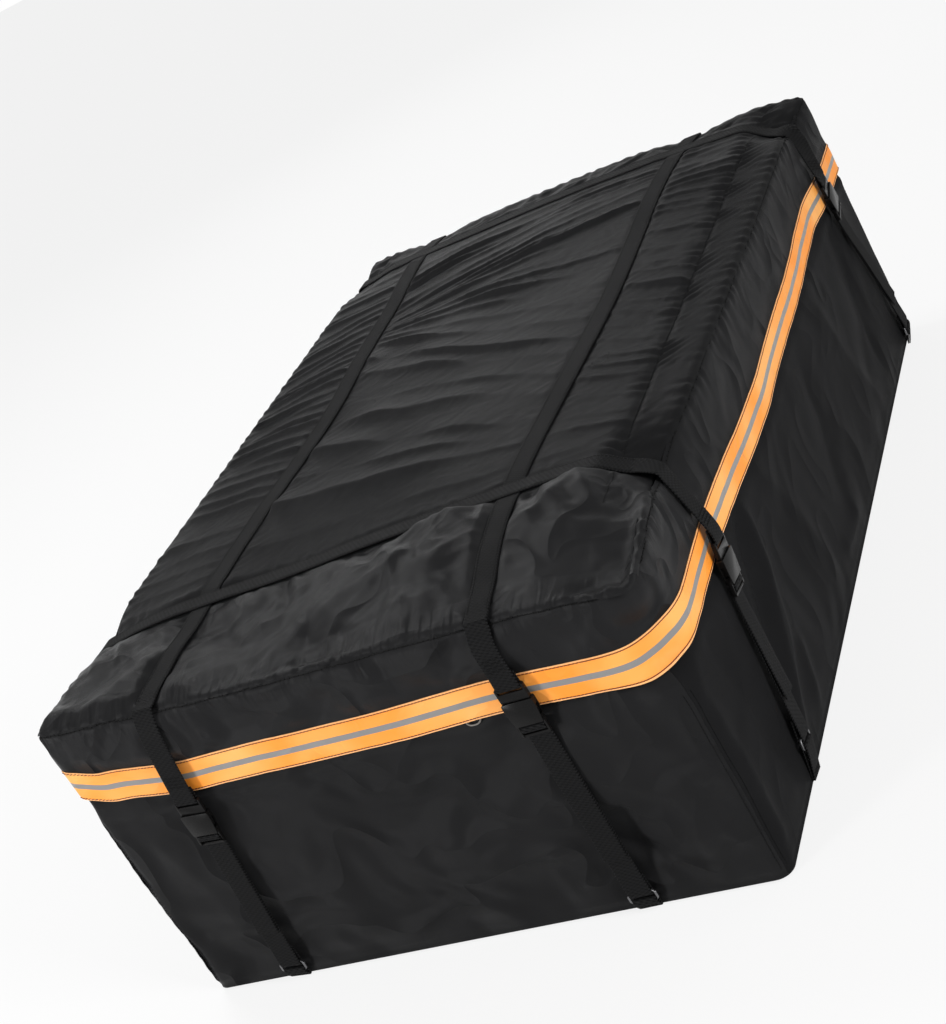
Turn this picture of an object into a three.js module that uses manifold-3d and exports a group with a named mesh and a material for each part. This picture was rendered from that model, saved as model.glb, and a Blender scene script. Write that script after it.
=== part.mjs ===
import * as THREE from "three";
import Module from "manifold-3d";

const wasm = await Module();
wasm.setup();

// All sizes are in millimetres. X runs along the front, Y to the rear, Z up.

// Body of the bag
const halfWidth = 405;
const halfLength = 650;
const cornerRound = 18;
const slumpRound = [[0, 22], [235, 26], [275, 46], [305, 90], [335, 95], [395, 58], [440, 20]];
const baseThick = 3;
const baseInset = 10.3;
const wallThick = 1.8;
const jointGap = 0.4;
const wallTop = 337;
const footInset = 8;
const footRise = 45;
const recessBelow = 20;
const recessAbove = 16;
const zipRecess = 11.5;
const wallSteps = { front: 12, right: 15, rear: 7, left: 9 };
const wallLevels = [0.4, 18, 50, 115, 180, 235, 275, 300, 318, 337];

// Seam between the lid and the sides: height at each place round the edge
const seamHeight = [
  [0, 434], [100, 431], [300, 422], [530, 421], [640, 419], [720, 414], [780, 409], [810, 407],
  [850, 414], [930, 427], [1000, 432], [1250, 434], [1600, 435], [1900, 438], [2110, 431],
  [2200, 437], [2500, 440], [2920, 435], [3300, 436], [4000, 436], [4220, 434],
];

// Where the straps pull the top edge in and down: place round the edge, depth, spread
const strapPulls = [
  [160, 5, 45], [625, 6, 45], [1032, 25, 62], [2005, 27, 60],
  [2301, 8, 50], [2783, 8, 50], [3010, 12, 55], [4030, 12, 55],
];
const pullDrop = 0.8;
const pullFoot = 362;
const pullTop = 430;

// Lid
const lidCrown = 11;
const lidEdgeDrop = 6;
const lidUnder = 9.5;
const seamGap = 1.6;
const underInset = 42;
const underStep = 180;
const underDepth = 7.5;
const lidColumns = [-1, -0.93, -0.77, -0.62, -0.34, -0.02, 0.26, 0.48, 0.62, 0.85, 0.94, 1];
const gatherX = 347;
const frontStrapY = -440;
const frontStrapSlope = 0.06;
const rearStrapY = 562;
const rearStrapBend = 16;

// Short uprights of the lid, above the zip
const sideFoot = 350;
const sideThick = 1.8;

// Zip
const zipTapeThick = 1;
const zipLap = 10;
const zipEnds = [62, 2858];
const tapeGap = 0.6;
const coilHeight = 2.6;
const coilDepth = 3;
const zipLine = 343.5;
const coilGap = 0.8;
const sliderLength = 14;
const sliderWidth = 9;
const sliderPlate = 1.2;
const sliderClear = 0.5;
const sliderMeet = 152;
const sliderSpace = 3;
const postHalf = 0.4;
const archRise = 3.4;
const cordRadius = 1;
const cordShows = 7;
const cordHides = -9;
const cordWide = 10;
const cordNarrow = 5;

// Rain flap and its band. The flap's lower edge is given at places round the edge
const flapThick = 1.6;
const flapStand = 0.6;
const flapFoot = [
  [0, 331], [60, 316], [190, 303], [470, 299], [600, 301], [715, 295], [790, 289], [850, 291],
  [1060, 298], [1340, 286], [1620, 294], [1850, 308], [2020, 297], [2110, 298], [2300, 301],
  [2600, 299], [2920, 302],
];
const bandHeight = 45;
const bandThick = 0.8;
const bandGap = 0.3;

// Webbing
const webWidth = 30;
const webThick = 1.6;
const webLift = 1.1;

// Side-release buckles
const buckleThick = 9;
const buckleMouthWidth = 39;
const buckleFootWidth = 34.5;
const socketHousing = 32;
const ladderThick = 4.6;
const cavityHalf = 3;
const windowLow = -24;
const windowHigh = -9;
const plugRise = 21;
const plugThick = 5.4;
const plugClear = 0.45;
const slotHeight = 5.2;
const slotWidth = 31.6;
const barThick = 3;
const barHeight = 3.6;
const ladderBar = 3;
const cavityDepth = 26;
const sideWall = 1.9;
const buckleStand = 11.5;

// Rings and anchor tabs
const ringWire = 3;
const ringInner = [31.4, 10];
const ringStand = 6.2;
const tabLow = 2;

// The eight hanging ends of the four over-straps: where the buckle mouth and the ring sit
const hangs = [
  { name: "front_left", side: 0, mouth: [-249, 279], ring: [-266, 21] },
  { name: "front_right", side: 0, mouth: [223, 318], ring: [229, 21] },
  { name: "right_front", side: 1, mouth: [-441, 298], ring: [-470, 50] },
  { name: "right_rear", side: 1, mouth: [500, 320], ring: [598, 27] },
  { name: "rear_right", side: 2, mouth: [217, 305], ring: [217, 30] },
  { name: "rear_left", side: 2, mouth: [-266, 298], ring: [-266, 30] },
  { name: "left_rear", side: 3, mouth: [556, 300], ring: [556, 36] },
  { name: "left_front", side: 3, mouth: [-466, 296], ring: [-466, 36] },
];

// Soft folds of the walls: from, to, height, half width, as place round the edge and height
const wallFolds = [
  { from: [905, 300], to: [1010, 40], rise: 5, spread: 26 },
  { from: [960, 250], to: [1090, 20], rise: -4, spread: 22 },
  { from: [1250, 260], to: [1330, 60], rise: 4, spread: 34 },
  { from: [1560, 240], to: [1480, 90], rise: -4, spread: 40 },
  { from: [1820, 250], to: [1900, 60], rise: 4, spread: 34 },
  { from: [560, 250], to: [740, 90], rise: 5, spread: 26 },
  { from: [600, 170], to: [770, 30], rise: -4, spread: 24 },
  { from: [250, 60], to: [470, 150], rise: 5, spread: 34 },
  { from: [300, 240], to: [520, 200], rise: -5, spread: 34 },
  { from: [60, 250], to: [100, 60], rise: 3, spread: 24 },
  { from: [2350, 240], to: [2480, 80], rise: 4, spread: 34 },
  { from: [2700, 230], to: [2620, 60], rise: -4, spread: 30 },
  { from: [3150, 250], to: [3240, 60], rise: 4, spread: 34 },
  { from: [3560, 240], to: [3480, 70], rise: -4, spread: 40 },
  { from: [3900, 250], to: [3980, 60], rise: 4, spread: 34 },
];

// Colours
const looks = {
  shell: { color: 0x1c1c1f, roughness: 0.55, metalness: 0 },
  lid: { color: 0x2a2a2d, roughness: 0.5, metalness: 0 },
  web: { color: 0x141415, roughness: 0.85, metalness: 0 },
  band: { color: 0xf0a050, roughness: 0.5, metalness: 0 },
  plastic: { color: 0x111112, roughness: 0.3, metalness: 0 },
  ring: { color: 0xb8babd, roughness: 0.3, metalness: 0.9 },
  zip: { color: 0x18181a, roughness: 0.6, metalness: 0 },
  cord: { color: 0xd8c8b8, roughness: 0.8, metalness: 0 },
};

const edgeLength = 4 * (halfWidth + halfLength);
const corners = [
  [-halfWidth, -halfLength],
  [halfWidth, -halfLength],
  [halfWidth, halfLength],
  [-halfWidth, halfLength],
];
const tangents = [[1, 0], [0, 1], [-1, 0], [0, -1]];
const normals = [[0, -1], [1, 0], [0, 1], [-1, 0]];
const sideLengths = [2 * halfWidth, 2 * halfLength, 2 * halfWidth, 2 * halfLength];
const sideStarts = [0, 810, 2110, 2920];

function lookup(table, at) {
  if (at <= table[0][0]) return table[0][1];
  for (let i = 1; i < table.length; i += 1) {
    if (at <= table[i][0]) {
      const part = (at - table[i - 1][0]) / (table[i][0] - table[i - 1][0]);
      const soft = part * part * (3 - 2 * part);
      return table[i - 1][1] + (table[i][1] - table[i - 1][1]) * soft;
    }
  }
  return table[table.length - 1][1];
}

function ramp(low, high, at) {
  const part = Math.min(1, Math.max(0, (at - low) / (high - low)));
  return part * part * (3 - 2 * part);
}

function cornerRadius(corner, z) {
  return corner === 1 ? lookup(slumpRound, z) : cornerRound;
}

function pullAt(q) {
  const at = ((q % edgeLength) + edgeLength) % edgeLength;
  let sum = 0;
  for (const [middle, depth, spread] of strapPulls) {
    sum += depth * Math.exp(-(((at - middle) / spread) ** 2));
  }
  return sum;
}

function pullShare(z) {
  return Math.min(1, Math.max(0, (z - pullFoot) / (pullTop - pullFoot)));
}

// A place round the edge, counted from the front-left corner, and its outward direction
function place(q, z, stand) {
  const off = stand - pullAt(q) * pullShare(z);
  const at = ((q % edgeLength) + edgeLength) % edgeLength;
  let side = 3;
  for (let i = 0; i < 3; i += 1) {
    if (at < sideStarts[i + 1]) {
      side = i;
      break;
    }
  }
  const along = at - sideStarts[side];
  const length = sideLengths[side];
  const [tx, ty] = tangents[side];
  const [nx, ny] = normals[side];
  const [cx, cy] = corners[side];
  const first = cornerRadius(side, z);
  const last = cornerRadius((side + 1) % 4, z);
  if (along < first) {
    const turn = (1 - along / first) * Math.PI / 4;
    const dx = nx * Math.cos(turn) - tx * Math.sin(turn);
    const dy = ny * Math.cos(turn) - ty * Math.sin(turn);
    const x = cx + (tx - nx) * first + dx * (first + off);
    const y = cy + (ty - ny) * first + dy * (first + off);
    return { x, y, nx: dx, ny: dy };
  }
  if (length - along < last) {
    const turn = (1 - (length - along) / last) * Math.PI / 4;
    const dx = nx * Math.cos(turn) + tx * Math.sin(turn);
    const dy = ny * Math.cos(turn) + ty * Math.sin(turn);
    const x = cx + tx * (length - last) - nx * last + dx * (last + off);
    const y = cy + ty * (length - last) - ny * last + dy * (last + off);
    return { x, y, nx: dx, ny: dy };
  }
  return { x: cx + tx * along + nx * off, y: cy + ty * along + ny * off, nx, ny };
}

function foldHeight(q, z) {
  let sum = 0;
  for (const fold of wallFolds) {
    const dx = fold.to[0] - fold.from[0];
    const dz = fold.to[1] - fold.from[1];
    const length = Math.hypot(dx, dz);
    const t = ((q - fold.from[0]) * dx + (z - fold.from[1]) * dz) / (length * length);
    const away = ((q - fold.from[0]) * dz - (z - fold.from[1]) * dx) / length;
    const ends = ramp(-0.25, 0.25, t) * (1 - ramp(0.75, 1.25, t));
    sum += fold.rise * ends * Math.exp(-((away / fold.spread) ** 2));
  }
  return sum;
}

// The walls step back behind the flap, but not on the left side, which has no zip
function recessShare(q) {
  const at = ((q % edgeLength) + edgeLength) % edgeLength;
  if (at <= 810) return 0.3 + 0.7 * ramp(4, 55, at);
  if (at <= 2110) return 1;
  if (at <= 2920) return 0.3 + 0.7 * (1 - ramp(2865, 2916, at));
  return 0.3 * (1 - ramp(4, 60, Math.min(at - 2920, edgeLength - at)));
}

// How far the wall's outer face stands from the nominal side
function wallOff(q, z) {
  const foot = -footInset * (1 - ramp(0, footRise, z));
  const edge = Math.min(300, lookup(flapFoot, q));
  const recess = -zipRecess * recessShare(q) * ramp(edge - recessBelow, edge + recessAbove, z);
  const free = ramp(10, 60, z) * (1 - ramp(220, 275, z));
  return foot + recess + foldHeight(q, z) * free;
}

function seamLevel(q) {
  return lookup(seamHeight, ((q % edgeLength) + edgeLength) % edgeLength);
}

function seamZ(q) {
  return seamLevel(q) - pullAt(q) * pullDrop;
}

// A closed solid from rows of points: outer and inner are equal grids
function shell(outer, inner) {
  const rows = outer.length;
  const columns = outer[0].length;
  const points = [];
  for (const grid of [outer, inner]) {
    for (const row of grid) points.push(...row);
  }
  const id = (layer, i, j) => layer * rows * columns + i * columns + j;
  const faces = [];
  const quad = (a, b, c, d) => faces.push([a, b, c], [a, c, d]);
  for (let i = 0; i + 1 < rows; i += 1) {
    for (let j = 0; j + 1 < columns; j += 1) {
      quad(id(0, i, j), id(0, i, j + 1), id(0, i + 1, j + 1), id(0, i + 1, j));
      quad(id(1, i, j), id(1, i + 1, j), id(1, i + 1, j + 1), id(1, i, j + 1));
    }
  }
  for (let j = 0; j + 1 < columns; j += 1) {
    quad(id(1, 0, j), id(1, 0, j + 1), id(0, 0, j + 1), id(0, 0, j));
    quad(id(0, rows - 1, j), id(0, rows - 1, j + 1), id(1, rows - 1, j + 1), id(1, rows - 1, j));
  }
  for (let i = 0; i + 1 < rows; i += 1) {
    quad(id(0, i, 0), id(0, i + 1, 0), id(1, i + 1, 0), id(1, i, 0));
    quad(id(1, i, columns - 1), id(1, i + 1, columns - 1), id(0, i + 1, columns - 1), id(0, i, columns - 1));
  }
  return { points, faces };
}

// Six times the volume a closed solid holds, negative when its faces point inwards
function volume(solid) {
  let sum = 0;
  for (const [i, j, k] of solid.faces) {
    const a = solid.points[i];
    const b = solid.points[j];
    const c = solid.points[k];
    sum += a[0] * (b[1] * c[2] - b[2] * c[1]);
    sum += a[1] * (b[2] * c[0] - b[0] * c[2]);
    sum += a[2] * (b[0] * c[1] - b[1] * c[0]);
  }
  return sum;
}

function geometryOf(solid) {
  const array = [];
  const turned = volume(solid) < 0;
  for (const face of solid.faces) {
    const order = turned ? [face[0], face[2], face[1]] : face;
    for (const index of order) array.push(...solid.points[index]);
  }
  const geometry = new THREE.BufferGeometry();
  geometry.setAttribute("position", new THREE.Float32BufferAttribute(array, 3));
  geometry.computeVertexNormals();
  return geometry;
}

function geometryFrom(manifold) {
  const mesh = manifold.getMesh();
  const stride = mesh.numProp;
  const array = [];
  for (const index of mesh.triVerts) {
    array.push(mesh.vertProperties[index * stride]);
    array.push(mesh.vertProperties[index * stride + 1]);
    array.push(mesh.vertProperties[index * stride + 2]);
  }
  const geometry = new THREE.BufferGeometry();
  geometry.setAttribute("position", new THREE.Float32BufferAttribute(array, 3));
  geometry.computeVertexNormals();
  return geometry;
}

const model = new THREE.Group();
model.name = "car_cargo_bag";

function addPart(name, geometry, look) {
  const mesh = new THREE.Mesh(geometry, new THREE.MeshStandardMaterial(looks[look]));
  mesh.name = name;
  model.add(mesh);
}

function spread(low, high, count) {
  const list = [];
  for (let i = 0; i <= count; i += 1) list.push(low + (high - low) * i / count);
  return list;
}

// Places round the edge between two ends, with extra ones at the rounded corners
function places(low, high, step) {
  const list = new Set([low, high]);
  for (const start of [-1300, 0, 810, 2110, 2920, 4220]) {
    const marks = start === 810 ? [-95, -62, -30, 0, 30, 62, 95] : [-62, -18, 0, 18, 62];
    for (const mark of marks) {
      if (start + mark > low + 1 && start + mark < high - 1) list.add(start + mark);
    }
  }
  const sorted = [...list].sort((a, b) => a - b);
  const filled = [];
  for (let i = 0; i + 1 < sorted.length; i += 1) {
    const span = sorted[i + 1] - sorted[i];
    const count = Math.max(1, Math.round(span / step));
    for (let k = 0; k < count; k += 1) filled.push(sorted[i] + span * k / count);
  }
  filled.push(high);
  return filled;
}

// Columns for what hangs from the top seam: close together where a strap pulls it in
function topPlaces(low, high, extra) {
  const list = new Set([low, high, ...extra]);
  const marks = [-18, 0, 18, 715, 748, 780, 810, 840, 872, 905, 2092, 2110, 2128, 2902, 2920, 2938];
  for (const [middle] of strapPulls) marks.push(middle - 60, middle - 18, middle + 18, middle + 60);
  marks.push(390, 510, 1180, 1340, 1500, 1660, 1820, 2450, 2620, 3200, 3400, 3600, 3800);
  for (const mark of marks) {
    for (const turn of [0, -edgeLength]) {
      if (mark + turn > low + 2 && mark + turn < high - 2) list.add(mark + turn);
    }
  }
  const sorted = [...list].sort((a, b) => a - b);
  return sorted.filter((q, i) => i === 0 || q - sorted[i - 1] > 1);
}

function sheet(qs, levels, offAt, thick) {
  const outer = [];
  const inner = [];
  for (let i = 0; i < levels.length; i += 1) {
    const outRow = [];
    const inRow = [];
    for (const q of qs) {
      const z = typeof levels[i] === "function" ? levels[i](q) : levels[i];
      const off = offAt(q, z);
      const out = place(q, z, off);
      const back = place(q, z, off - thick);
      outRow.push([out.x, out.y, z]);
      inRow.push([back.x, back.y, z]);
    }
    outer.push(outRow);
    inner.push(inRow);
  }
  return shell(outer, inner);
}

// Base panel
function buildBase() {
  const outline = places(0, edgeLength, 900).slice(0, -1).map((q) => {
    const spot = place(q, 0, -baseInset);
    return [spot.x, spot.y];
  });
  return wasm.Manifold.extrude([outline], baseThick);
}
addPart("base_panel", geometryFrom(buildBase()), "shell");

// Walls, one panel for each side
const sideNames = ["front", "right", "rear", "left"];
for (let side = 0; side < 4; side += 1) {
  const low = sideStarts[side] + jointGap / 2;
  const high = sideStarts[side] + sideLengths[side] - jointGap / 2;
  const step = sideLengths[side] / wallSteps[sideNames[side]];
  const solid = sheet(places(low, high, step), wallLevels, wallOff, wallThick);
  addPart(`wall_${sideNames[side]}`, geometryOf(solid), "shell");
}

// Creases of the lid. Each row of points follows one crease line across the lid
function creaseSlope(y) {
  return lookup([
    [-440, 0.02], [-330, -0.25], [-200, -0.34], [-60, -0.36], [60, -0.46],
    [160, -0.36], [230, -0.05], [330, 0.22], [420, 0.24], [520, 0.05], [600, 0.02],
  ], y);
}

function creaseY(y, x) {
  const middle = Math.min(205, Math.max(-215, x));
  const right = Math.max(0, x - 205);
  const left = Math.min(0, x + 215);
  const slope = creaseSlope(y);
  return y + slope * middle + (slope * 0.7 - 0.03) * right + (0.08 - slope * 0.25) * left;
}

function seeded(seed) {
  let state = seed;
  return () => {
    state = (state * 16807) % 2147483647;
    return state / 2147483647;
  };
}

function creaseList() {
  const random = seeded(4711);
  const list = [];
  let y = -404;
  while (y < 535) {
    const gap = y < 40 ? 47 : y < 200 ? 38 : 31;
    const rise = y < -250 ? 2.2 : y < 120 ? 4.6 : 3.6;
    list.push({ y, rise: rise * (0.65 + 0.7 * random()), gap: gap * (0.8 + 0.4 * random()) });
    y += list[list.length - 1].gap;
  }
  return list;
}

function lidRows() {
  const rows = [];
  const random = seeded(97);
  const fronts = [-650, -638, -612, -585, -558, -532, -505, -478];
  fronts.forEach((y, i) => rows.push({ y, rise: i < 2 ? 0 : (random() - 0.5) * 7 }));
  rows.push({ y: -452, rise: 0 });
  rows.push({ y: -428, rise: 0 });
  for (const crease of creaseList()) {
    rows.push({ y: crease.y, rise: -crease.rise * 0.5 });
    rows.push({ y: crease.y + crease.gap * 0.42, rise: crease.rise });
  }
  rows.push({ y: 546, rise: 0 });
  rows.push({ y: 572, rise: 0 });
  rows.push({ y: 592, rise: 3 });
  rows.push({ y: 612, rise: -2 });
  rows.push({ y: 636, rise: 0 });
  rows.push({ y: 650, rise: 0 });
  return rows;
}

// The place round the edge that lies straight out from a point of the lid, for each side
function sidePlaces(x, y) {
  return [x + halfWidth, 810 + y + halfLength, 2110 + halfWidth - x, 2920 + halfLength - y];
}

function sideShares(x, y) {
  const far = [-y / halfLength, x / halfWidth, y / halfLength, -x / halfWidth];
  const start = [0.82, 0.78, 0.84, 0.78];
  return far.map((value, side) => ramp(start[side], 1, value));
}

function lidBase(x, y) {
  const u = Math.min(1, Math.max(-1, x / halfWidth));
  const v = Math.min(1, Math.max(-1, y / halfLength));
  const s = (u + 1) / 2;
  const t = (v + 1) / 2;
  const [front, right, rear, left] = sidePlaces(u * halfWidth, v * halfLength).map(seamLevel);
  const [c00, c10, c11, c01] = sideStarts.map(seamLevel);
  const along = (1 - t) * front + t * rear + (1 - s) * left + s * right;
  const twice = (1 - s) * (1 - t) * c00 + s * (1 - t) * c10 + s * t * c11 + (1 - s) * t * c01;
  const dome = (1 - u ** 4) * (1 - v ** 4);
  const shares = sideShares(x, y);
  let drop = 0;
  sidePlaces(x, y).forEach((q, side) => {
    drop += pullAt(q) * pullDrop * shares[side];
  });
  return along - twice + lidCrown * dome - drop;
}

function frontStrapAt(x) {
  return frontStrapY + frontStrapSlope * x;
}

function rearStrapAt(x) {
  return rearStrapY - rearStrapBend * ramp(180, 380, x);
}

const leftStrapLine = [[-650, -236], [-450, -226], [0, -216], [300, -238], [575, -268], [650, -268]];
const rightStrapLine = [[-650, 219], [-400, 214], [0, 226], [560, 212], [650, 214]];

// Creases are pressed flat under the webbing and at the seam
function calm(x, y) {
  const toSeam = Math.min(halfWidth - Math.abs(x), halfLength - Math.abs(y));
  let keep = ramp(4, 40, toSeam);
  for (const line of [leftStrapLine, rightStrapLine]) {
    keep *= 0.2 + 0.8 * ramp(12, 34, Math.abs(x - lookup(line, y)));
  }
  keep *= 0.1 + 0.9 * ramp(12, 30, Math.abs(y - frontStrapAt(x)));
  keep *= 0.1 + 0.9 * ramp(12, 30, Math.abs(y - rearStrapAt(x)));
  if (x > gatherX - 20) keep *= 0.35;
  return keep;
}

const rowApart = 3;

function lidGrid() {
  const rows = lidRows();
  const grid = [];
  for (const row of rows) {
    const line = [];
    for (const u of lidColumns) {
      const straight = u * halfWidth;
      const bent = creaseY(row.y, straight);
      const free = ramp(0, 200, Math.min(row.y + halfLength, halfLength - row.y));
      const wanted = row.y + (bent - row.y) * (row.y > -428 && row.y < 546 ? 1 : 0) * free;
      const before = grid.length > 0 ? grid[grid.length - 1][line.length][1] : -1000;
      line.push([straight, Math.max(wanted, before + rowApart), row.rise]);
    }
    grid.push(line);
  }
  return grid;
}

function edgeMatch(x, y, off) {
  const round = { x, y };
  const cx = halfWidth;
  const cy = halfLength;
  for (let corner = 0; corner < 4; corner += 1) {
    const sx = Math.sign(corners[corner][0]);
    const sy = Math.sign(corners[corner][1]);
    const radius = cornerRadius(corner, 435);
    const dx = sx * x - (cx - radius);
    const dy = sy * y - (cy - radius);
    if (dx > 0 && dy > 0) {
      const far = Math.max(dx, dy) / radius;
      const long = Math.hypot(dx, dy);
      round.x = sx * (cx - radius + dx / long * far * radius);
      round.y = sy * (cy - radius + dy / long * far * radius);
    }
  }
  round.x *= (cx + off) / cx;
  round.y *= (cy + off) / cy;
  const shares = sideShares(x, y);
  sidePlaces(x, y).forEach((q, side) => {
    round.x -= normals[side][0] * pullAt(q) * shares[side];
    round.y -= normals[side][1] * pullAt(q) * shares[side];
  });
  return round;
}

function lidTop() {
  return lidGrid().map((line) => line.map(([x, y, rise]) => {
    const spot = edgeMatch(x, y, -0.5);
    const toSeam = Math.min(halfWidth - Math.abs(x), halfLength - Math.abs(y));
    const drop = lidEdgeDrop * (1 - ramp(0, 16, toSeam)) * 0.5;
    const z = lidBase(x, y) + rise * calm(x, y) - drop;
    return [spot.x, spot.y, z];
  }));
}

const lidSurface = lidTop();

function lidHeight(x, y) {
  let best = -1e9;
  for (let i = 0; i + 1 < lidSurface.length; i += 1) {
    for (let j = 0; j + 1 < lidSurface[0].length; j += 1) {
      const a = lidSurface[i][j];
      const b = lidSurface[i][j + 1];
      const c = lidSurface[i + 1][j + 1];
      const d = lidSurface[i + 1][j];
      for (const [p, r, s] of [[a, b, c], [a, c, d]]) {
        const area = (r[0] - p[0]) * (s[1] - p[1]) - (s[0] - p[0]) * (r[1] - p[1]);
        if (Math.abs(area) < 1e-9) continue;
        const wr = ((x - p[0]) * (s[1] - p[1]) - (s[0] - p[0]) * (y - p[1])) / area;
        const ws = ((r[0] - p[0]) * (y - p[1]) - (x - p[0]) * (r[1] - p[1])) / area;
        if (wr >= -1e-6 && ws >= -1e-6 && wr + ws <= 1 + 1e-6) {
          best = Math.max(best, p[2] + wr * (r[2] - p[2]) + ws * (s[2] - p[2]));
        }
      }
    }
  }
  return best;
}

// The lid as one closed skin: creased top, thin rim, and a plain underside in two steps
function buildLid() {
  const n = lidSurface.length;
  const m = lidSurface[0].length;
  const points = lidSurface.flat().map((point) => [...point]);
  const faces = [];
  const quad = (a, b, c, d) => faces.push([a, b, c], [a, c, d]);
  for (let i = 0; i + 1 < n; i += 1) {
    for (let j = 0; j + 1 < m; j += 1) {
      quad(i * m + j, i * m + j + 1, (i + 1) * m + j + 1, (i + 1) * m + j);
    }
  }
  const loop = [];
  for (let j = 0; j < m; j += 1) loop.push(j);
  for (let i = 1; i < n; i += 1) loop.push(i * m + m - 1);
  for (let j = m - 2; j >= 0; j -= 1) loop.push((n - 1) * m + j);
  for (let i = n - 2; i > 0; i -= 1) loop.push(i * m);
  const count = loop.length;
  let outer = loop;
  for (const [inset, depth] of [[0, lidUnder], [underInset, underDepth], [underStep, underDepth]]) {
    const start = points.length;
    for (const index of loop) {
      const x = points[index][0] * (1 - inset / halfWidth);
      const y = points[index][1] * (1 - inset / halfLength);
      points.push([x, y, lidBase(x, y) - depth]);
    }
    const inner = loop.map((_, k) => start + k);
    for (let k = 0; k < count; k += 1) {
      const next = (k + 1) % count;
      quad(inner[k], inner[next], outer[next], outer[k]);
    }
    outer = inner;
  }
  const half = Math.floor(m / 2);
  const left = (i) => (i === 0 ? outer[0] : outer[2 * m + 2 * n - 4 - i]);
  const right = (i) => outer[m - 1 + i];
  const rear = (j) => outer[m - 1 + n - 1 + (m - 1 - j)];
  for (let i = 1; i + 2 < n; i += 1) quad(left(i), left(i + 1), right(i + 1), right(i));
  for (let j = 0; j + 1 < m; j += 1) {
    faces.push([outer[j], j < half ? left(1) : right(1), outer[j + 1]]);
    faces.push([j < half ? left(n - 2) : right(n - 2), rear(j), rear(j + 1)]);
  }
  faces.push([left(1), right(1), outer[half]]);
  faces.push([left(n - 2), rear(half), right(n - 2)]);
  return { points, faces };
}
addPart("lid_panel", geometryOf(buildLid()), "lid");

// Short upright border of the lid, one strip that starts and ends at the rear-left corner
function seamFoot(q) {
  return seamZ(q) - lidUnder - seamGap;
}
function borderOff(q) {
  return -zipRecess * recessShare(q);
}
function zipShare(q) {
  return q < 0 || q > 2920 ? 0 : 1;
}
const borderFoot = (q) => (zipShare(q) > 0.5 ? sideFoot : wallTop + jointGap);
const borderPlaces = topPlaces(-1300 + jointGap / 2, 2920 - jointGap / 2, [55, 2865]);
const borderLevels = [borderFoot, seamFoot];
addPart("lid_border", geometryOf(sheet(borderPlaces, borderLevels, borderOff, sideThick)), "shell");

// A closed solid that carries one outline of (off, z) points round the edge
function carry(outline, qs, offAt) {
  const count = outline.length;
  const points = [];
  for (const q of qs) {
    for (const [off, z] of outline) {
      const height = typeof z === "function" ? z(q) : z;
      const spot = place(q, height, offAt(q) + off);
      points.push([spot.x, spot.y, height]);
    }
  }
  const faces = [];
  for (let i = 0; i + 1 < qs.length; i += 1) {
    for (let k = 0; k < count; k += 1) {
      const a = i * count + k;
      const b = i * count + ((k + 1) % count);
      if (points[b][2] > points[a][2]) faces.push([a, a + count, b + count], [a, b + count, b]);
      else faces.push([a, a + count, b], [b, a + count, b + count]);
    }
  }
  const flat = outline.map(([off, z]) => new THREE.Vector2(off, typeof z === "function" ? z(0) : z));
  const last = (qs.length - 1) * count;
  for (const [a, b, c] of THREE.ShapeUtils.triangulateShape(flat, [])) {
    faces.push([a, b, c], [last + a, last + c, last + b]);
  }
  return { points, faces };
}

// Zip: two tapes, each with its half of the coil
const zipPlaces = places(zipEnds[0], zipEnds[1], 400);
const zipOff = (q) => -zipRecess * recessShare(q);
const tapeBack = tapeGap;
const tapeFront = tapeBack + zipTapeThick;
const coilFront = tapeBack + coilDepth;
const coilLow = zipLine - coilGap - coilHeight;
const coilHigh = zipLine + coilGap + coilHeight;
const bodyTape = [
  [tapeBack, wallTop - zipLap],
  [tapeFront, wallTop - zipLap],
  [tapeFront, coilLow],
  [coilFront, coilLow],
  [coilFront, zipLine - coilGap],
  [tapeBack, zipLine - coilGap],
];
const lidTape = [
  [tapeBack, zipLine + coilGap],
  [coilFront, zipLine + coilGap],
  [coilFront, coilHigh],
  [tapeFront, coilHigh],
  [tapeFront, sideFoot + zipLap],
  [tapeBack, sideFoot + zipLap],
];
addPart("zip_tape_body", geometryOf(carry(bodyTape, zipPlaces, zipOff)), "zip");
addPart("zip_tape_lid", geometryOf(carry(lidTape, zipPlaces, zipOff)), "zip");

// Rain flap and reflective band
const footAt = (q) => lookup(flapFoot, q);
const flapBack = flapStand - flapThick;
const flapOutline = [
  [flapBack, footAt],
  [flapStand, footAt],
  [flapStand, (q) => footAt(q) + bandHeight],
  [flapStand, seamFoot],
  [flapBack, seamFoot],
  [flapBack, (q) => footAt(q) + bandHeight],
];
const flapPlaces = topPlaces(3, 2917, [62]);
addPart("rain_flap", geometryOf(carry(flapOutline, flapPlaces, () => 0)), "shell");
const bandBack = flapStand + bandGap;
const bandOutline = [
  [bandBack, footAt],
  [bandBack + bandThick, footAt],
  [bandBack + bandThick, (q) => footAt(q) + bandHeight],
  [bandBack, (q) => footAt(q) + bandHeight],
];
addPart("reflective_band", geometryOf(carry(bandOutline, flapPlaces, () => 0)), "band");

// Zip sliders: two plates joined by a post that runs between the halves of the coil
function box(low, high) {
  const size = [high[0] - low[0], high[1] - low[1], high[2] - low[2]];
  return wasm.Manifold.cube(size, false).translate(low);
}

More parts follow.
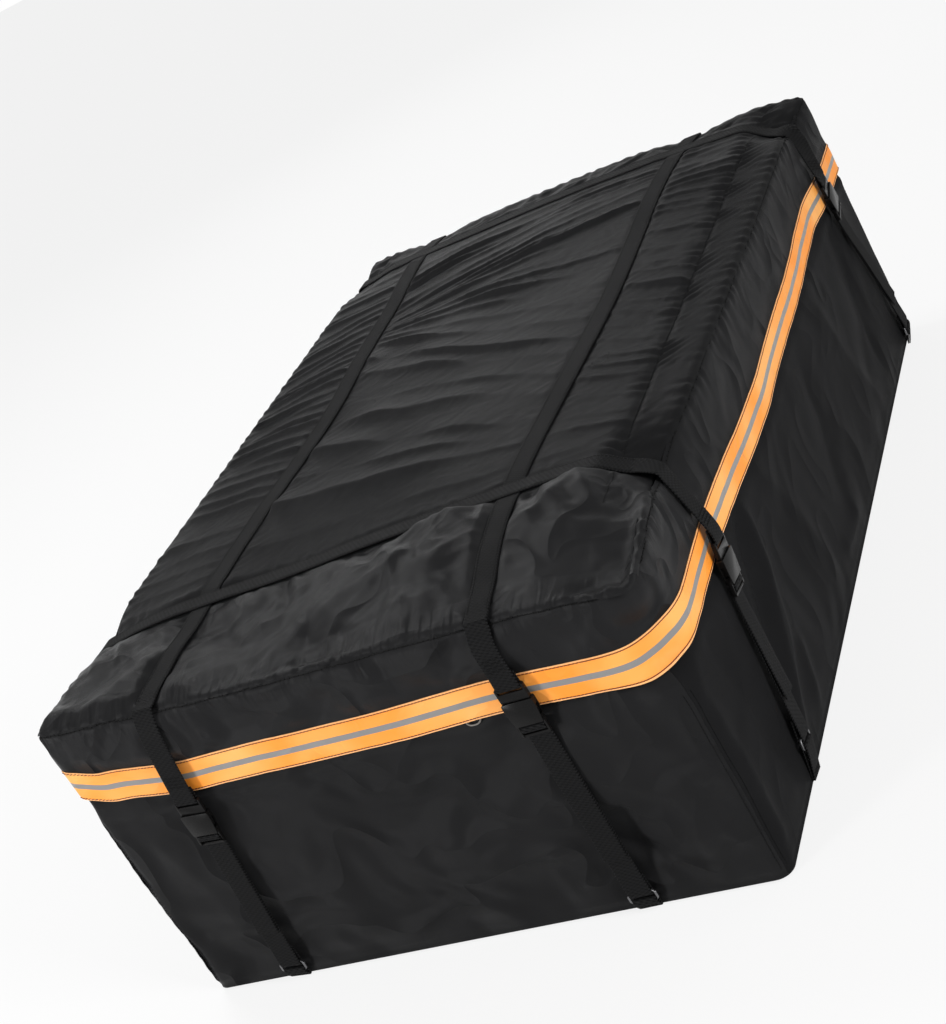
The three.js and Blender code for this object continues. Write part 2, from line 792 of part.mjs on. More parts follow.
function buildSlider(x, mouth) {
  const half = sliderLength / 2;
  const low = zipLine - sliderWidth / 2;
  const high = zipLine + sliderWidth / 2;
  const yBack = -(halfLength - zipRecess + tapeBack - sliderClear);
  const yFront = -(halfLength - zipRecess + coilFront + sliderClear);
  const postLow = mouth > 0 ? x + half - 4 : x - half;
  let body = box([x - half, yBack, low], [x + half, yBack + sliderPlate, high]);
  body = body.add(box([x - half, yFront - sliderPlate, low], [x + half, yFront, high]));
  body = body.add(box([postLow, yFront - 0.2, zipLine - postHalf], [postLow + 4, yBack + 0.2, zipLine + postHalf]));
  const archOut = yFront - sliderPlate - archRise;
  let arch = box([x - 3, archOut, zipLine - 2.4], [x + 3, yFront - sliderPlate + 0.2, zipLine + 2.4]);
  arch = arch.subtract(box([x - 4, archOut + 0.9, zipLine - 1.5], [x + 4, yFront - sliderPlate, zipLine + 1.5]));
  return body.add(arch);
}

function buildCord(x, wide, shows) {
  const archMiddle = halfLength - zipRecess + coilFront + sliderClear + sliderPlate + (archRise - 0.9) / 2;
  const foot = footAt(x + halfWidth);
  const low = foot - shows;
  const path = [
    [0, archMiddle, zipLine], [4.2, archMiddle, zipLine - 0.4], [wide * 0.8, archMiddle - 0.1, zipLine - 5],
    [wide, halfLength - 4.2, zipLine - 18], [wide, halfLength - 3.2, low + 9],
    [wide * 0.98, halfLength - 2.9, low + 5.5], [wide * 0.84, halfLength - 1.6, low + 2.6],
    [wide * 0.5, halfLength - 0.6, low + 0.5], [0, halfLength - 0.4, low],
  ];
  const limit = shows > 0 ? halfLength : halfLength - 3.6;
  const loop = path.map(([dx, out, z]) => new THREE.Vector3(x + dx, -Math.min(out, limit), z));
  for (const [dx, out, z] of path.slice(1, -1).reverse()) {
    loop.push(new THREE.Vector3(x - dx, -Math.min(out, limit), z));
  }
  return tubeLoop(loop, cordRadius, 5);
}

// A round cord that closes on itself
function tubeLoop(centres, radius, sides) {
  const count = centres.length;
  const points = [];
  const faces = [];
  const out = new THREE.Vector3(0, -1, 0);
  centres.forEach((centre, i) => {
    const next = centres[(i + 1) % count];
    const before = centres[(i + count - 1) % count];
    const along = next.clone().sub(before).normalize();
    const across = along.clone().cross(out).normalize();
    const up = across.clone().cross(along).normalize();
    for (let k = 0; k < sides; k += 1) {
      const turn = (k / sides) * 2 * Math.PI;
      const spot = centre.clone();
      spot.addScaledVector(across, radius * Math.cos(turn));
      spot.addScaledVector(up, radius * Math.sin(turn));
      points.push(spot.toArray());
    }
  });
  for (let i = 0; i < count; i += 1) {
    for (let k = 0; k < sides; k += 1) {
      const a = i * sides + k;
      const b = i * sides + ((k + 1) % sides);
      const c = ((i + 1) % count) * sides + k;
      const d = ((i + 1) % count) * sides + ((k + 1) % sides);
      faces.push([a, c, d], [a, d, b]);
    }
  }
  return { points, faces };
}
const sliderA = sliderMeet;
const sliderB = sliderMeet + sliderLength + sliderSpace;
addPart("zip_slider_a", geometryFrom(buildSlider(sliderA, 1)), "ring");
addPart("zip_slider_b", geometryFrom(buildSlider(sliderB, -1)), "ring");
addPart("pull_cord_a", geometryOf(buildCord(sliderA, cordWide, cordShows)), "cord");
addPart("pull_cord_b", geometryOf(buildCord(sliderB, cordNarrow, cordHides)), "cord");

// A flat strip of webbing through stations, each with a centre and a width direction
function ribbon(stations, width, thick) {
  const count = stations.length;
  const points = [];
  const faces = [];
  stations.forEach((station, i) => {
    const before = stations[Math.max(0, i - 1)].p;
    const next = stations[Math.min(count - 1, i + 1)].p;
    const into = station.p.clone().sub(before);
    const away = next.clone().sub(station.p);
    if (i === 0) into.copy(away);
    if (i === count - 1) away.copy(into);
    into.normalize();
    away.normalize();
    const along = into.clone().add(away).normalize();
    const side = station.w.clone().addScaledVector(along, -station.w.dot(along)).normalize();
    const face = side.clone().cross(along).normalize();
    const cosine = Math.max(0.55, along.dot(into));
    for (const [s, t] of [[-1, -1], [1, -1], [1, 1], [-1, 1]]) {
      const spot = station.p.clone();
      spot.addScaledVector(side, s * width / 2);
      spot.addScaledVector(face, t * thick / 2 / cosine);
      points.push(spot.toArray());
    }
  });
  for (let i = 0; i + 1 < count; i += 1) {
    for (let k = 0; k < 4; k += 1) {
      const a = i * 4 + k;
      const b = i * 4 + ((k + 1) % 4);
      faces.push([a, b, b + 4], [a, b + 4, a + 4]);
    }
  }
  const last = (count - 1) * 4;
  faces.push([0, 2, 1], [0, 3, 2], [last, last + 1, last + 2], [last, last + 2, last + 3]);
  return { points, faces };
}

// The frame of one hanging end: a across, b up the webbing, c out from the wall
function hangFrame(hang) {
  const [nx, ny] = normals[hang.side];
  const flat = hang.side % 2;
  const at = (along, z, off) => {
    const x = flat === 0 ? along : nx * halfWidth;
    const y = flat === 0 ? ny * halfLength : along;
    return new THREE.Vector3(x + nx * off, y + ny * off, z);
  };
  const mouth = at(hang.mouth[0], hang.mouth[1], buckleStand);
  const ring = at(hang.ring[0], hang.ring[1], ringStand);
  const up = mouth.clone().sub(ring);
  const reach = up.length();
  up.normalize();
  const out = new THREE.Vector3(nx, ny, 0);
  out.addScaledVector(up, -out.dot(up)).normalize();
  const across = up.clone().cross(out).normalize();
  const spot = (b, c, a = 0) => mouth.clone().addScaledVector(up, b).addScaledVector(out, c).addScaledVector(across, a);
  const onWall = (t, off) => at(
    hang.mouth[0] + (hang.ring[0] - hang.mouth[0]) * t,
    hang.mouth[1] + (hang.ring[1] - hang.mouth[1]) * t,
    off,
  );
  const matrix = new THREE.Matrix4().makeBasis(across, up, out).setPosition(mouth);
  return { mouth, ring, up, out, across, reach, spot, onWall, matrix };
}

function transformed(manifold, matrix) {
  return manifold.transform(matrix.elements);
}

function slab(outline, low, high) {
  return wasm.Manifold.extrude([outline], high - low).translate([0, 0, low]);
}

function mirrored(half) {
  const other = half.map(([x, y]) => [-x, y]).reverse();
  return [...other, ...half];
}

// Socket: mouth at b = 0, ladder bars at the foot
const slotTop = -socketHousing;
const midBarTop = slotTop - slotHeight;
const lowSlotTop = midBarTop - ladderBar;
const lowBarTop = lowSlotTop - slotHeight;
const socketFoot = lowBarTop - ladderBar;

function buildSocket() {
  const mouthHalf = buckleMouthWidth / 2;
  const footHalf = buckleFootWidth / 2;
  const housing = mirrored([
    [footHalf, -socketHousing], [footHalf + 0.8, -socketHousing + 7], [mouthHalf, -13],
    [mouthHalf, -1.2], [mouthHalf - 1.2, 0],
  ]);
  let body = slab(housing, -buckleThick / 2, buckleThick / 2);
  const rail = mirrored([
    [footHalf - 1.5, socketFoot], [footHalf + 0.9, socketFoot + 2], [footHalf + 0.9, -socketHousing + 4],
  ]);
  body = body.add(slab(rail, -ladderThick / 2, ladderThick / 2));
  const half = slotWidth / 2;
  body = body.subtract(box([-half, midBarTop, -9], [half, slotTop - 0.01, 9]));
  body = body.subtract(box([-half, lowBarTop, -9], [half, lowSlotTop, 9]));
  for (const side of [-1, 1]) {
    const low = side < 0 ? -9 : barThick / 2;
    const high = side < 0 ? -barThick / 2 : 9;
    body = body.subtract(box([-half, socketFoot - 1, low], [half, slotTop - 0.01, high]));
  }
  const roof = cavityHalf;
  const inner = mouthHalf - sideWall;
  const cavity = mirrored([[inner, -cavityDepth], [inner, 1]]);
  body = body.subtract(slab(cavity, -roof, roof));
  for (const side of [-1, 1]) {
    const low = side < 0 ? -30 : inner - 3;
    const high = side < 0 ? -inner + 3 : 30;
    body = body.subtract(box([low, windowLow, -roof], [high, windowHigh, roof]));
  }
  return body;
}

// Plug: a webbing bar, a body, a centre prong and two side arms, held in as they pass the mouth
function buildPlug() {
  const wide = buckleMouthWidth / 2 - 1.5;
  const frame = mirrored([[wide - 1, 0.5], [wide, 1.5], [wide, plugRise - 2], [wide - 2, plugRise]]);
  const half = slotWidth / 2;
  let body = slab(frame, -plugThick / 2, plugThick / 2);
  const slotFoot = plugRise - barHeight - slotHeight;
  body = body.subtract(box([-half, slotFoot, -9], [half, plugRise - barHeight, 9]));
  for (const side of [-1, 1]) {
    const low = side < 0 ? -9 : barThick / 2;
    const high = side < 0 ? -barThick / 2 : 9;
    body = body.subtract(box([-half, slotFoot, low], [half, plugRise + 1, high]));
  }
  const inner = buckleMouthWidth / 2 - sideWall - plugClear;
  const depth = cavityHalf - plugClear;
  const arm = [
    [inner - 3.2, 1], [inner - 3.4, -9], [inner - 4.6, -14], [inner - 4.2, -21.5], [inner - 1.6, -23.4],
    [inner, -20], [inner, -13], [inner - 0.9, -9.5], [inner - 0.7, 1],
  ];
  const otherArm = arm.map(([x, y]) => [-x, y]).reverse();
  body = body.add(slab(arm, -depth, depth));
  body = body.add(slab(otherArm, -depth, depth));
  const prong = mirrored([[1.6, -21], [2.4, -19], [2.8, 1]]);
  return body.add(slab(prong, -depth + 0.6, depth - 0.6));
}

// Rectangular ring
function buildRing() {
  const wide = ringInner[0] / 2;
  const tall = ringInner[1] / 2;
  const loop = (dx, dy, round) => {
    const list = [];
    for (const [sx, sy, from] of [[1, -1, 270], [1, 1, 0], [-1, 1, 90], [-1, -1, 180]]) {
      for (const turn of [from, from + 90]) {
        const angle = turn * Math.PI / 180;
        list.push([sx * (dx - round) + round * Math.cos(angle), sy * (dy - round) + round * Math.sin(angle)]);
      }
    }
    return list;
  };
  const outer = slab(loop(wide + ringWire, tall + ringWire, 4), -ringWire / 2, ringWire / 2);
  return outer.subtract(slab(loop(wide, tall, 1.2), -ringWire, ringWire));
}

const layer = barThick / 2 + jointGap + webThick / 2;
const layerStep = webThick + jointGap;

// Lower strap: tail, round the ladder bar, down to the ring and back behind itself
function lowerStations(frame) {
  const reach = frame.reach;
  const ringTop = -reach + ringInner[1] / 2;
  const loadStart = lowBarTop - 5;
  const loadEnd = ringTop + 6.5;
  const slope = (layer + layer + layerStep) / (loadStart - loadEnd);
  const loadAt = (b) => -layer - layerStep + (loadStart - b) * slope;
  const tailEnd = -reach + 62;
  const path = [
    [tailEnd, loadAt(tailEnd) + layerStep + 2.6],
    [tailEnd + 30, loadAt(tailEnd + 30) + layerStep + 1.4],
    [(tailEnd + loadStart) / 2, loadAt((tailEnd + loadStart) / 2) + layerStep + 0.7],
    [lowBarTop + 0.4, -layer],
    [lowBarTop + 2.2, -1.3],
    [lowSlotTop - 1.5, 1.5],
    [lowSlotTop - 0.2, layer],
    [midBarTop + 0.2, layer],
    [midBarTop + 1.6, 1.5],
    [midBarTop + 2.2, -1.6],
    [midBarTop + 0.9, -layer - layerStep + 0.6],
    [midBarTop - 1.2, -layer - layerStep],
    [loadStart, -layer - layerStep],
    [loadEnd, layer],
    [ringTop + 0.4, layer],
    [ringTop - 1.5, 2.1],
    [ringTop - 2, 0],
    [ringTop - 1.5, -2.1],
    [ringTop + 0.4, -layer],
    [ringTop + 5, -layer],
    [ringTop + 28, -1.2],
  ];
  return path.map(([b, c]) => ({ p: frame.spot(b, c), w: frame.across }));
}

// Anchor tab: from the foot of the wall up through the ring and back behind itself
function tabStations(hang, frame) {
  const line = (t, off) => ({ p: frame.onWall(t, off), w: frame.across });
  const footT = (hang.mouth[1] - tabLow) / (hang.mouth[1] - hang.ring[1]);
  const q = sideStarts[hang.side] + placeAlong(hang);
  const skin = (t) => {
    const z = hang.mouth[1] + (hang.ring[1] - hang.mouth[1]) * t;
    let most = -50;
    for (const dq of [-16, -8, 0, 8, 16]) {
      for (const dz of [-5, 0, 5]) most = Math.max(most, wallOff(q + dq, Math.max(0, z + dz)));
    }
    return most + webLift + webThick / 2;
  };
  const t1 = footT;
  const bar = -ringInner[1] / 2;
  return [
    line(t1, skin(t1) + layerStep),
    { p: frame.spot(-frame.reach + bar - ringWire - 0.6, layer), w: frame.across },
    { p: frame.spot(-frame.reach + bar - 0.2, layer), w: frame.across },
    { p: frame.spot(-frame.reach + bar + 1.5, 2.1), w: frame.across },
    { p: frame.spot(-frame.reach + bar + 2, 0), w: frame.across },
    { p: frame.spot(-frame.reach + bar + 1.5, -2.1), w: frame.across },
    { p: frame.spot(-frame.reach + bar - 0.2, -layer), w: frame.across },
    { p: frame.spot(-frame.reach + bar - ringWire - 0.6, -layer), w: frame.across },
    line(t1, skin(t1)),
  ];
}

function placeAlong(hang) {
  if (hang.side === 0) return hang.ring[0] + halfWidth;
  if (hang.side === 1) return hang.ring[0] + halfLength;
  if (hang.side === 2) return halfWidth - hang.ring[0];
  return halfLength - hang.ring[0];
}

const frames = {};
for (const hang of hangs) {
  const frame = hangFrame(hang);
  frames[hang.name] = frame;
  addPart(`socket_${hang.name}`, geometryFrom(transformed(buildSocket(), frame.matrix)), "plastic");
  addPart(`plug_${hang.name}`, geometryFrom(transformed(buildPlug(), frame.matrix)), "plastic");
  const ringMatrix = frame.matrix.clone().setPosition(frame.ring);
  addPart(`ring_${hang.name}`, geometryFrom(transformed(buildRing(), ringMatrix)), "ring");
  addPart(`lower_strap_${hang.name}`, geometryOf(ribbon(lowerStations(frame), webWidth, webThick)), "web");
  addPart(`anchor_tab_${hang.name}`, geometryOf(ribbon(tabStations(hang, frame), webWidth, webThick)), "web");
}

// Over-straps. The hanging end wraps the plug's bar and is sewn back behind itself
function hangingEnd(frame) {
  const barFoot = plugRise - barHeight;
  const list = [
    [37, -2.2], [25, -layer], [barFoot + 0.6, -layer], [barFoot - 1.3, -1.9], [barFoot - 2, 0],
    [barFoot - 1.3, 1.9], [barFoot + 0.6, layer], [plugRise + 1.5, layer], [plugRise + 9, layer - 0.6],
  ];
  return list.map(([b, c]) => ({ p: frame.spot(b, c), w: frame.across }));
}

function lidUnderWeb(x, y, dx, dy) {
  let most = -1e9;
  for (const s of [-1, -0.5, 0, 0.5, 1]) {
    for (const t of [-1, -0.7, -0.35, 0, 0.35, 0.7, 1]) {
      const px = x + dx * s * webWidth / 2 + dy * t * 24;
      const py = y + dy * s * webWidth / 2 + dx * t * 24;
      most = Math.max(most, lidHeight(px, py));
    }
  }
  return most;
}

const lift = webLift + webThick / 2;
const longLines = { over_strap_left: leftStrapLine, over_strap_right: rightStrapLine };
const longEnds = {
  over_strap_left: ["front_left", "rear_left"],
  over_strap_right: ["front_right", "rear_right"],
};
const longHeights = {};

// Stations over the top edge of a side: on the flap, at its top and at the seam
function edgeStations(side, along, q, across, lean) {
  const [nx, ny] = normals[side];
  const top = seamZ(q);
  const turn = side === 1 ? 1 : -1;
  const at = (stand, z, shift) => {
    const place = q + shift * turn;
    const off = stand - Math.min(pullAt(place - 28), pullAt(place + 28)) * pullShare(z);
    const x = side % 2 === 0 ? along + shift : nx * (halfWidth + off);
    const y = side % 2 === 0 ? ny * (halfLength + off) : along + shift;
    return { p: new THREE.Vector3(x, y, z), w: across.clone() };
  };
  const out = flapStand + webLift + webThick / 2;
  return [at(out + 3.6, top - 24, lean), at(out + 2, top - 6, lean * 0.3), at(out, top + 1.7, 0)];
}

const longPlaces = [-636, -620, -590, -550, -510, -468, -440, -410, ...spread(-375, 525, 26), 562, 590, 618, 634];
for (const [name, line] of Object.entries(longLines)) {
  const [frontName, rearName] = longEnds[name];
  const wide = new THREE.Vector3(1, 0, 0);
  const heights = [];
  const middle = [];
  for (const y of longPlaces) {
    const x = lookup(line, y);
    const z = lidUnderWeb(x, y, 1, 0) + lift;
    heights.push([y, z]);
    middle.push({ p: new THREE.Vector3(x, y, z), w: wide.clone() });
  }
  longHeights[name] = heights;
  const front = frames[frontName];
  const rear = frames[rearName];
  const frontX = lookup(line, -650);
  const rearX = lookup(line, 650);
  const stations = [
    ...hangingEnd(front),
    ...edgeStations(0, frontX, frontX + halfWidth, wide, 0),
    ...middle,
    ...edgeStations(2, rearX, 2110 + halfWidth - rearX, wide, 0).reverse(),
    ...hangingEnd(rear).reverse().map((s) => ({ p: s.p, w: s.w.clone().negate() })),
  ];
  addPart(name, geometryOf(ribbon(stations, webWidth, webThick)), "web");
}

function plain(table, at) {
  for (let i = 1; i < table.length; i += 1) {
    if (at <= table[i][0]) {
      const part = (at - table[i - 1][0]) / (table[i][0] - table[i - 1][0]);
      return table[i - 1][1] + (table[i][1] - table[i - 1][1]) * part;
    }
  }
  return table[table.length - 1][1];
}

const crossLines = {
  over_strap_front: { at: frontStrapAt, ends: ["left_front", "right_front"], right: -424, lean: -8 },
  over_strap_rear: { at: rearStrapAt, ends: ["left_rear", "right_rear"], right: 545, lean: -26 },
};
for (const [name, line] of Object.entries(crossLines)) {
  const wide = new THREE.Vector3(0, -1, 0);
  const left = frames[line.ends[0]];
  const right = frames[line.ends[1]];
  const xs = [-384, -366, -340, -310];
  for (const long of Object.values(longLines)) {
    const x = lookup(long, line.at(0));
    xs.push(x - 34, x - 19, x - 15, x, x + 15, x + 19, x + 34);
  }
  xs.push(-160, -120, -80, -40, 0, 40, 80, 120, 160, 290, 325, 350, 366);
  xs.sort((a, b) => a - b);
  const middle = xs.map((x) => {
    const y = line.at(x);
    let z = lidUnderWeb(x, y, 0, 1) + lift;
    for (const [longName, long] of Object.entries(longLines)) {
      if (Math.abs(x - lookup(long, y)) < 20) {
        const under = Math.max(...[-16, -8, 0, 8, 16].map((dy) => plain(longHeights[longName], y + dy)));
        z = Math.max(z, under + layerStep + 0.3);
      }
    }
    return { p: new THREE.Vector3(x, y, z), w: wide.clone() };
  });
  const leftY = line.at(-halfWidth);
  const rightQ = 810 + line.right + halfLength;
  const stations = [
    ...hangingEnd(left).map((s) => ({ p: s.p, w: s.w.clone() })),
    ...edgeStations(3, leftY, 2920 + halfLength - leftY, left.across, 0),
    ...middle,
    ...edgeStations(1, line.right, rightQ, right.across.clone().negate(), line.lean).reverse(),
    ...hangingEnd(right).reverse().map((s) => ({ p: s.p, w: s.w.clone().negate() })),
  ];
  addPart(name, geometryOf(ribbon(stations, webWidth, webThick)), "web");
}

export default model;
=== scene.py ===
import math

import bmesh
import bpy
import numpy as np
from mathutils import Matrix, Vector
from mathutils.bvhtree import BVHTree


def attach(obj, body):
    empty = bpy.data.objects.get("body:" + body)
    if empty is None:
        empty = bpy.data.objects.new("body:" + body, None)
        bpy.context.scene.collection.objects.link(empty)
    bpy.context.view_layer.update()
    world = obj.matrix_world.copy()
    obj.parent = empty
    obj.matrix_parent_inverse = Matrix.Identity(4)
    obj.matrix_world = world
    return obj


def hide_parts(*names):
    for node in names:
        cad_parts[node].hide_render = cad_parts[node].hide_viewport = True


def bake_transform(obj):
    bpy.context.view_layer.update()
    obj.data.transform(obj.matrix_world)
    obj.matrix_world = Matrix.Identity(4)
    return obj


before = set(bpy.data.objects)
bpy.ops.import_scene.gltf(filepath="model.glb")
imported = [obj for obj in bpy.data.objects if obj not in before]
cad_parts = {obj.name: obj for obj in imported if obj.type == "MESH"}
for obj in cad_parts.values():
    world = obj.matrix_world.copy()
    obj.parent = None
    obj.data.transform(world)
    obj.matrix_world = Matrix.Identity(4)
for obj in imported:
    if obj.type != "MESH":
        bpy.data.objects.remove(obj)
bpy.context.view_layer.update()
print("stage: frame loaded")

# Working sizes are in millimetres; every mesh is written in metres.
mm = 0.001

# Camera
cameraView = {
    "place": (1.233, -2.242, 1.302),
    "lens": 69.27,
    "sensor": 36.0,
    "right": (0.84005, 0.27536, -0.46743),
    "up": (0.26702, 0.54017, 0.79807),
    "back": (0.47225, -0.79523, 0.38024),
}


def linked(name, data):
    made = bpy.data.objects.new(name, data)
    bpy.context.scene.collection.objects.link(made)
    return made


def addCamera(view):
    data = bpy.data.cameras.new("camera")
    data.lens = view["lens"]
    data.sensor_width = view["sensor"]
    data.clip_end = 50
    turn = Matrix((view["right"], view["up"], view["back"])).transposed()
    bpy.context.scene.camera = linked("camera", data)
    bpy.context.scene.camera.matrix_world = Matrix.Translation(view["place"]) @ turn.to_4x4()


addCamera(cameraView)

# The bag's form, as in its CAD
halfWide, halfLong = 405, 650
rightStart, rearStart, leftStart = 810, 2110, 2920
around = 4220
bag = {
    "cornerRound": 18,
    "slumpRound": [(0, 22), (235, 26), (275, 46), (305, 90), (335, 95), (395, 58), (440, 20)],
    "wallTop": 337,
    "footInset": 2,
    "footRise": 45,
    "recessBelow": 20,
    "recessAbove": 16,
    "zipRecess": 11.5,
    "seamHeight": [
        (0, 434), (100, 431), (300, 422), (530, 421), (640, 419), (720, 414), (780, 409), (810, 407),
        (850, 414), (930, 427), (1000, 432), (1250, 434), (1600, 435), (1900, 438), (2110, 431),
        (2200, 437), (2500, 440), (2920, 435), (3300, 436), (4000, 436), (4220, 434),
    ],
    "strapPulls": [
        (160, 5, 45), (625, 6, 45), (1032, 25, 62), (2005, 27, 60),
        (2301, 8, 50), (2783, 8, 50), (3010, 12, 55), (4030, 12, 55),
    ],
    "pullDrop": 0.8,
    "pullFoot": 362,
    "pullTop": 430,
    "lidCrown": 11,
    "flapFoot": [
        (0, 331), (60, 316), (190, 303), (470, 299), (600, 301), (715, 295), (790, 289), (850, 291),
        (1060, 298), (1340, 286), (1620, 294), (1850, 308), (2020, 297), (2110, 298), (2300, 301),
        (2600, 299), (2920, 302),
    ],
    "bandHeight": 45,
    "sideStarts": (0, rightStart, rearStart, leftStart),
}
sideLengths = (810, 1300, 810, 1300)
cornerSpots = ((-halfWide, -halfLong), (halfWide, -halfLong), (halfWide, halfLong), (-halfWide, halfLong))
tangents = ((1, 0), (0, 1), (-1, 0), (0, -1))
normals = ((0, -1), (1, 0), (0, 1), (-1, 0))


def soft(part):
    return part * part * (3 - 2 * part)


def ramp(low, high, at):
    return soft(np.clip((np.asarray(at, float) - low) / (high - low), 0, 1))


def tableAt(table, at):
    at = np.asarray(at, float)
    xs = np.array([row[0] for row in table], float)
    ys = np.array([row[1] for row in table], float)
    k = np.clip(np.searchsorted(xs, at), 1, len(xs) - 1)
    part = np.clip((at - xs[k - 1]) / (xs[k] - xs[k - 1]), 0, 1)
    return ys[k - 1] + (ys[k] - ys[k - 1]) * soft(part)


def pullAt(q):
    at = np.mod(q, around)
    total = np.zeros_like(at, dtype=float)
    for middle, depth, spread in bag["strapPulls"]:
        total += depth * np.exp(-(((at - middle) / spread) ** 2))
    return total


def cornerRadius(corner, z):
    if corner == 1:
        return tableAt(bag["slumpRound"], z)
    return np.full_like(np.asarray(z, float), bag["cornerRound"])


# Points round the edge of the bag. q runs from the front-left corner along the front, right, rear and left.
def placeAt(q, z, stand):
    q, z, stand = np.broadcast_arrays(np.asarray(q, float), np.asarray(z, float), np.asarray(stand, float))
    share = np.clip((z - bag["pullFoot"]) / (bag["pullTop"] - bag["pullFoot"]), 0, 1)
    off = stand - pullAt(q) * share
    at = np.mod(q, around)
    x, y, outX, outY = (np.zeros_like(at) for _ in range(4))
    for side, (start, length) in enumerate(zip(bag["sideStarts"], sideLengths)):
        mine = (at >= start) & (at < start + length)
        along = at - start
        (tx, ty), (nx, ny), (cx, cy) = tangents[side], normals[side], cornerSpots[side]
        px, py = cx + tx * along + nx * off, cy + ty * along + ny * off
        dx, dy = np.full_like(at, nx, dtype=float), np.full_like(at, ny, dtype=float)
        for corner, hand, gap in ((side, -1, along), ((side + 1) % 4, 1, length - along)):
            radius = cornerRadius(corner, z)
            turn = (1 - gap / radius) * math.pi / 4
            ax = nx * np.cos(turn) + hand * tx * np.sin(turn)
            ay = ny * np.cos(turn) + hand * ty * np.sin(turn)
            before = radius if hand < 0 else length - radius
            bend = gap < radius
            px = np.where(bend, cx + tx * before - nx * radius + ax * (radius + off), px)
            py = np.where(bend, cy + ty * before - ny * radius + ay * (radius + off), py)
            dx, dy = np.where(bend, ax, dx), np.where(bend, ay, dy)
        x, y = np.where(mine, px, x), np.where(mine, py, y)
        outX, outY = np.where(mine, dx, outX), np.where(mine, dy, outY)
    return np.stack([x, y, z], -1), np.stack([outX, outY, np.zeros_like(x)], -1)


def recessShare(q):
    at = np.mod(q, around)
    front = 0.3 + 0.7 * ramp(4, 55, at)
    rear = 0.3 + 0.7 * (1 - ramp(2865, 2916, at))
    left = 0.3 * (1 - ramp(4, 60, np.minimum(at - leftStart, around - at)))
    return np.where(at <= rightStart, front, np.where(at <= rearStart, 1.0, np.where(at <= leftStart, rear, left)))


def seamZ(q):
    return tableAt(bag["seamHeight"], np.mod(q, around)) - pullAt(q) * bag["pullDrop"]


# A number from 0 to 65535 for each lattice point
def hashed(i, j, seed):
    n = (i * 374761393 + j * 668265263 + seed * 974634777) & 0xFFFFFFFF
    n = ((n ^ (n >> 13)) * 1274126177) & 0xFFFFFFFF
    return (n ^ (n >> 16)) & 0xFFFF


def latticeNoise(x, y, seed):
    xi, yi = np.floor(x).astype(np.int64), np.floor(y).astype(np.int64)
    fx, fy = x - xi, y - yi

    def slope(i, j, dx, dy):
        turn = hashed(i, j, seed) / 65536 * 2 * math.pi
        return np.cos(turn) * dx + np.sin(turn) * dy

    wx = fx * fx * fx * (fx * (fx * 6 - 15) + 10)
    wy = fy * fy * fy * (fy * (fy * 6 - 15) + 10)
    low = slope(xi, yi, fx, fy) * (1 - wx) + slope(xi + 1, yi, fx - 1, fy) * wx
    high = slope(xi, yi + 1, fx, fy - 1) * (1 - wx) + slope(xi + 1, yi + 1, fx - 1, fy - 1) * wx
    return (low * (1 - wy) + high * wy) * 1.5


# Crumpled cloth: flat facets that meet in sharp crests
def crumple(x, y, size, rise, seed):
    wx = x + size * 0.45 * latticeNoise(x / size * 0.8, y / size * 0.8, seed + 11)
    wy = y + size * 0.45 * latticeNoise(x / size * 0.8 + 9.3, y / size * 0.8, seed + 12)
    return rise * (0.45 - 1.6 * np.abs(latticeNoise(wx / size, wy / size, seed)))


# Broad flat facets with soft dents, as coated cloth takes when it is pushed together
def facets(x, y, size, rise, seed):
    turn = 0.7 + seed
    px = (x * math.cos(turn) - y * math.sin(turn)) / size
    py = (x * math.sin(turn) + y * math.cos(turn)) / size
    u = px + 0.38 * latticeNoise(px * 0.9, py * 0.9, seed + 21)
    v = py + 0.38 * latticeNoise(px * 0.9 + 5.1, py * 0.9, seed + 22)
    i, j = np.floor(u).astype(np.int64), np.floor(v).astype(np.int64)
    fu, fv = u - i, v - j

    high = lambda a, b: hashed(a, b, seed) / 32768 - 1
    h00, h10, h01, h11 = high(i, j), high(i + 1, j), high(i, j + 1), high(i + 1, j + 1)
    under = h00 + fu * (h10 - h00) + fv * (h11 - h10)
    one = np.where(fu > fv, under, h00 + fv * (h01 - h00) + fu * (h11 - h01))
    low = h00 + fu * (h10 - h00) + fv * (h01 - h00)
    two = np.where(fu + fv < 1, low, h11 + (1 - fu) * (h01 - h11) + (1 - fv) * (h10 - h11))
    return rise * np.where(high(i + 77, j) > 0, one, two)


# Puckers along a seam: a row of small folds, and where it is strong or weak
def beat(at, pitch, seed, row=None):
    row = seed if row is None else row
    return np.cos(2 * math.pi * (at + 7 * latticeNoise(at / 40, at * 0 + row, seed)) / pitch)


def patchy(at, span, seed):
    return np.clip(0.45 + 1.2 * latticeNoise(at / span, at * 0 + 0.4, seed), 0.05, 1.2)


# Distance from a polyline, with the share along it
def fromLine(x, y, line):
    best = np.full(np.broadcast(x, y).shape, 1e9)
    share = np.zeros_like(best)
    total = sum(math.dist(a, b) for a, b in zip(line, line[1:]))
    done = 0.0
    for a, b in zip(line, line[1:]):
        dx, dy = b[0] - a[0], b[1] - a[1]
        length = math.hypot(dx, dy)
        t = np.clip(((x - a[0]) * dx + (y - a[1]) * dy) / length**2, 0, 1)
        away = np.hypot(x - a[0] - t * dx, y - a[1] - t * dy)
        nearer = away < best
        best = np.where(nearer, away, best)
        share = np.where(nearer, (done + t * length) / total, share)
        done += length
    return best, share


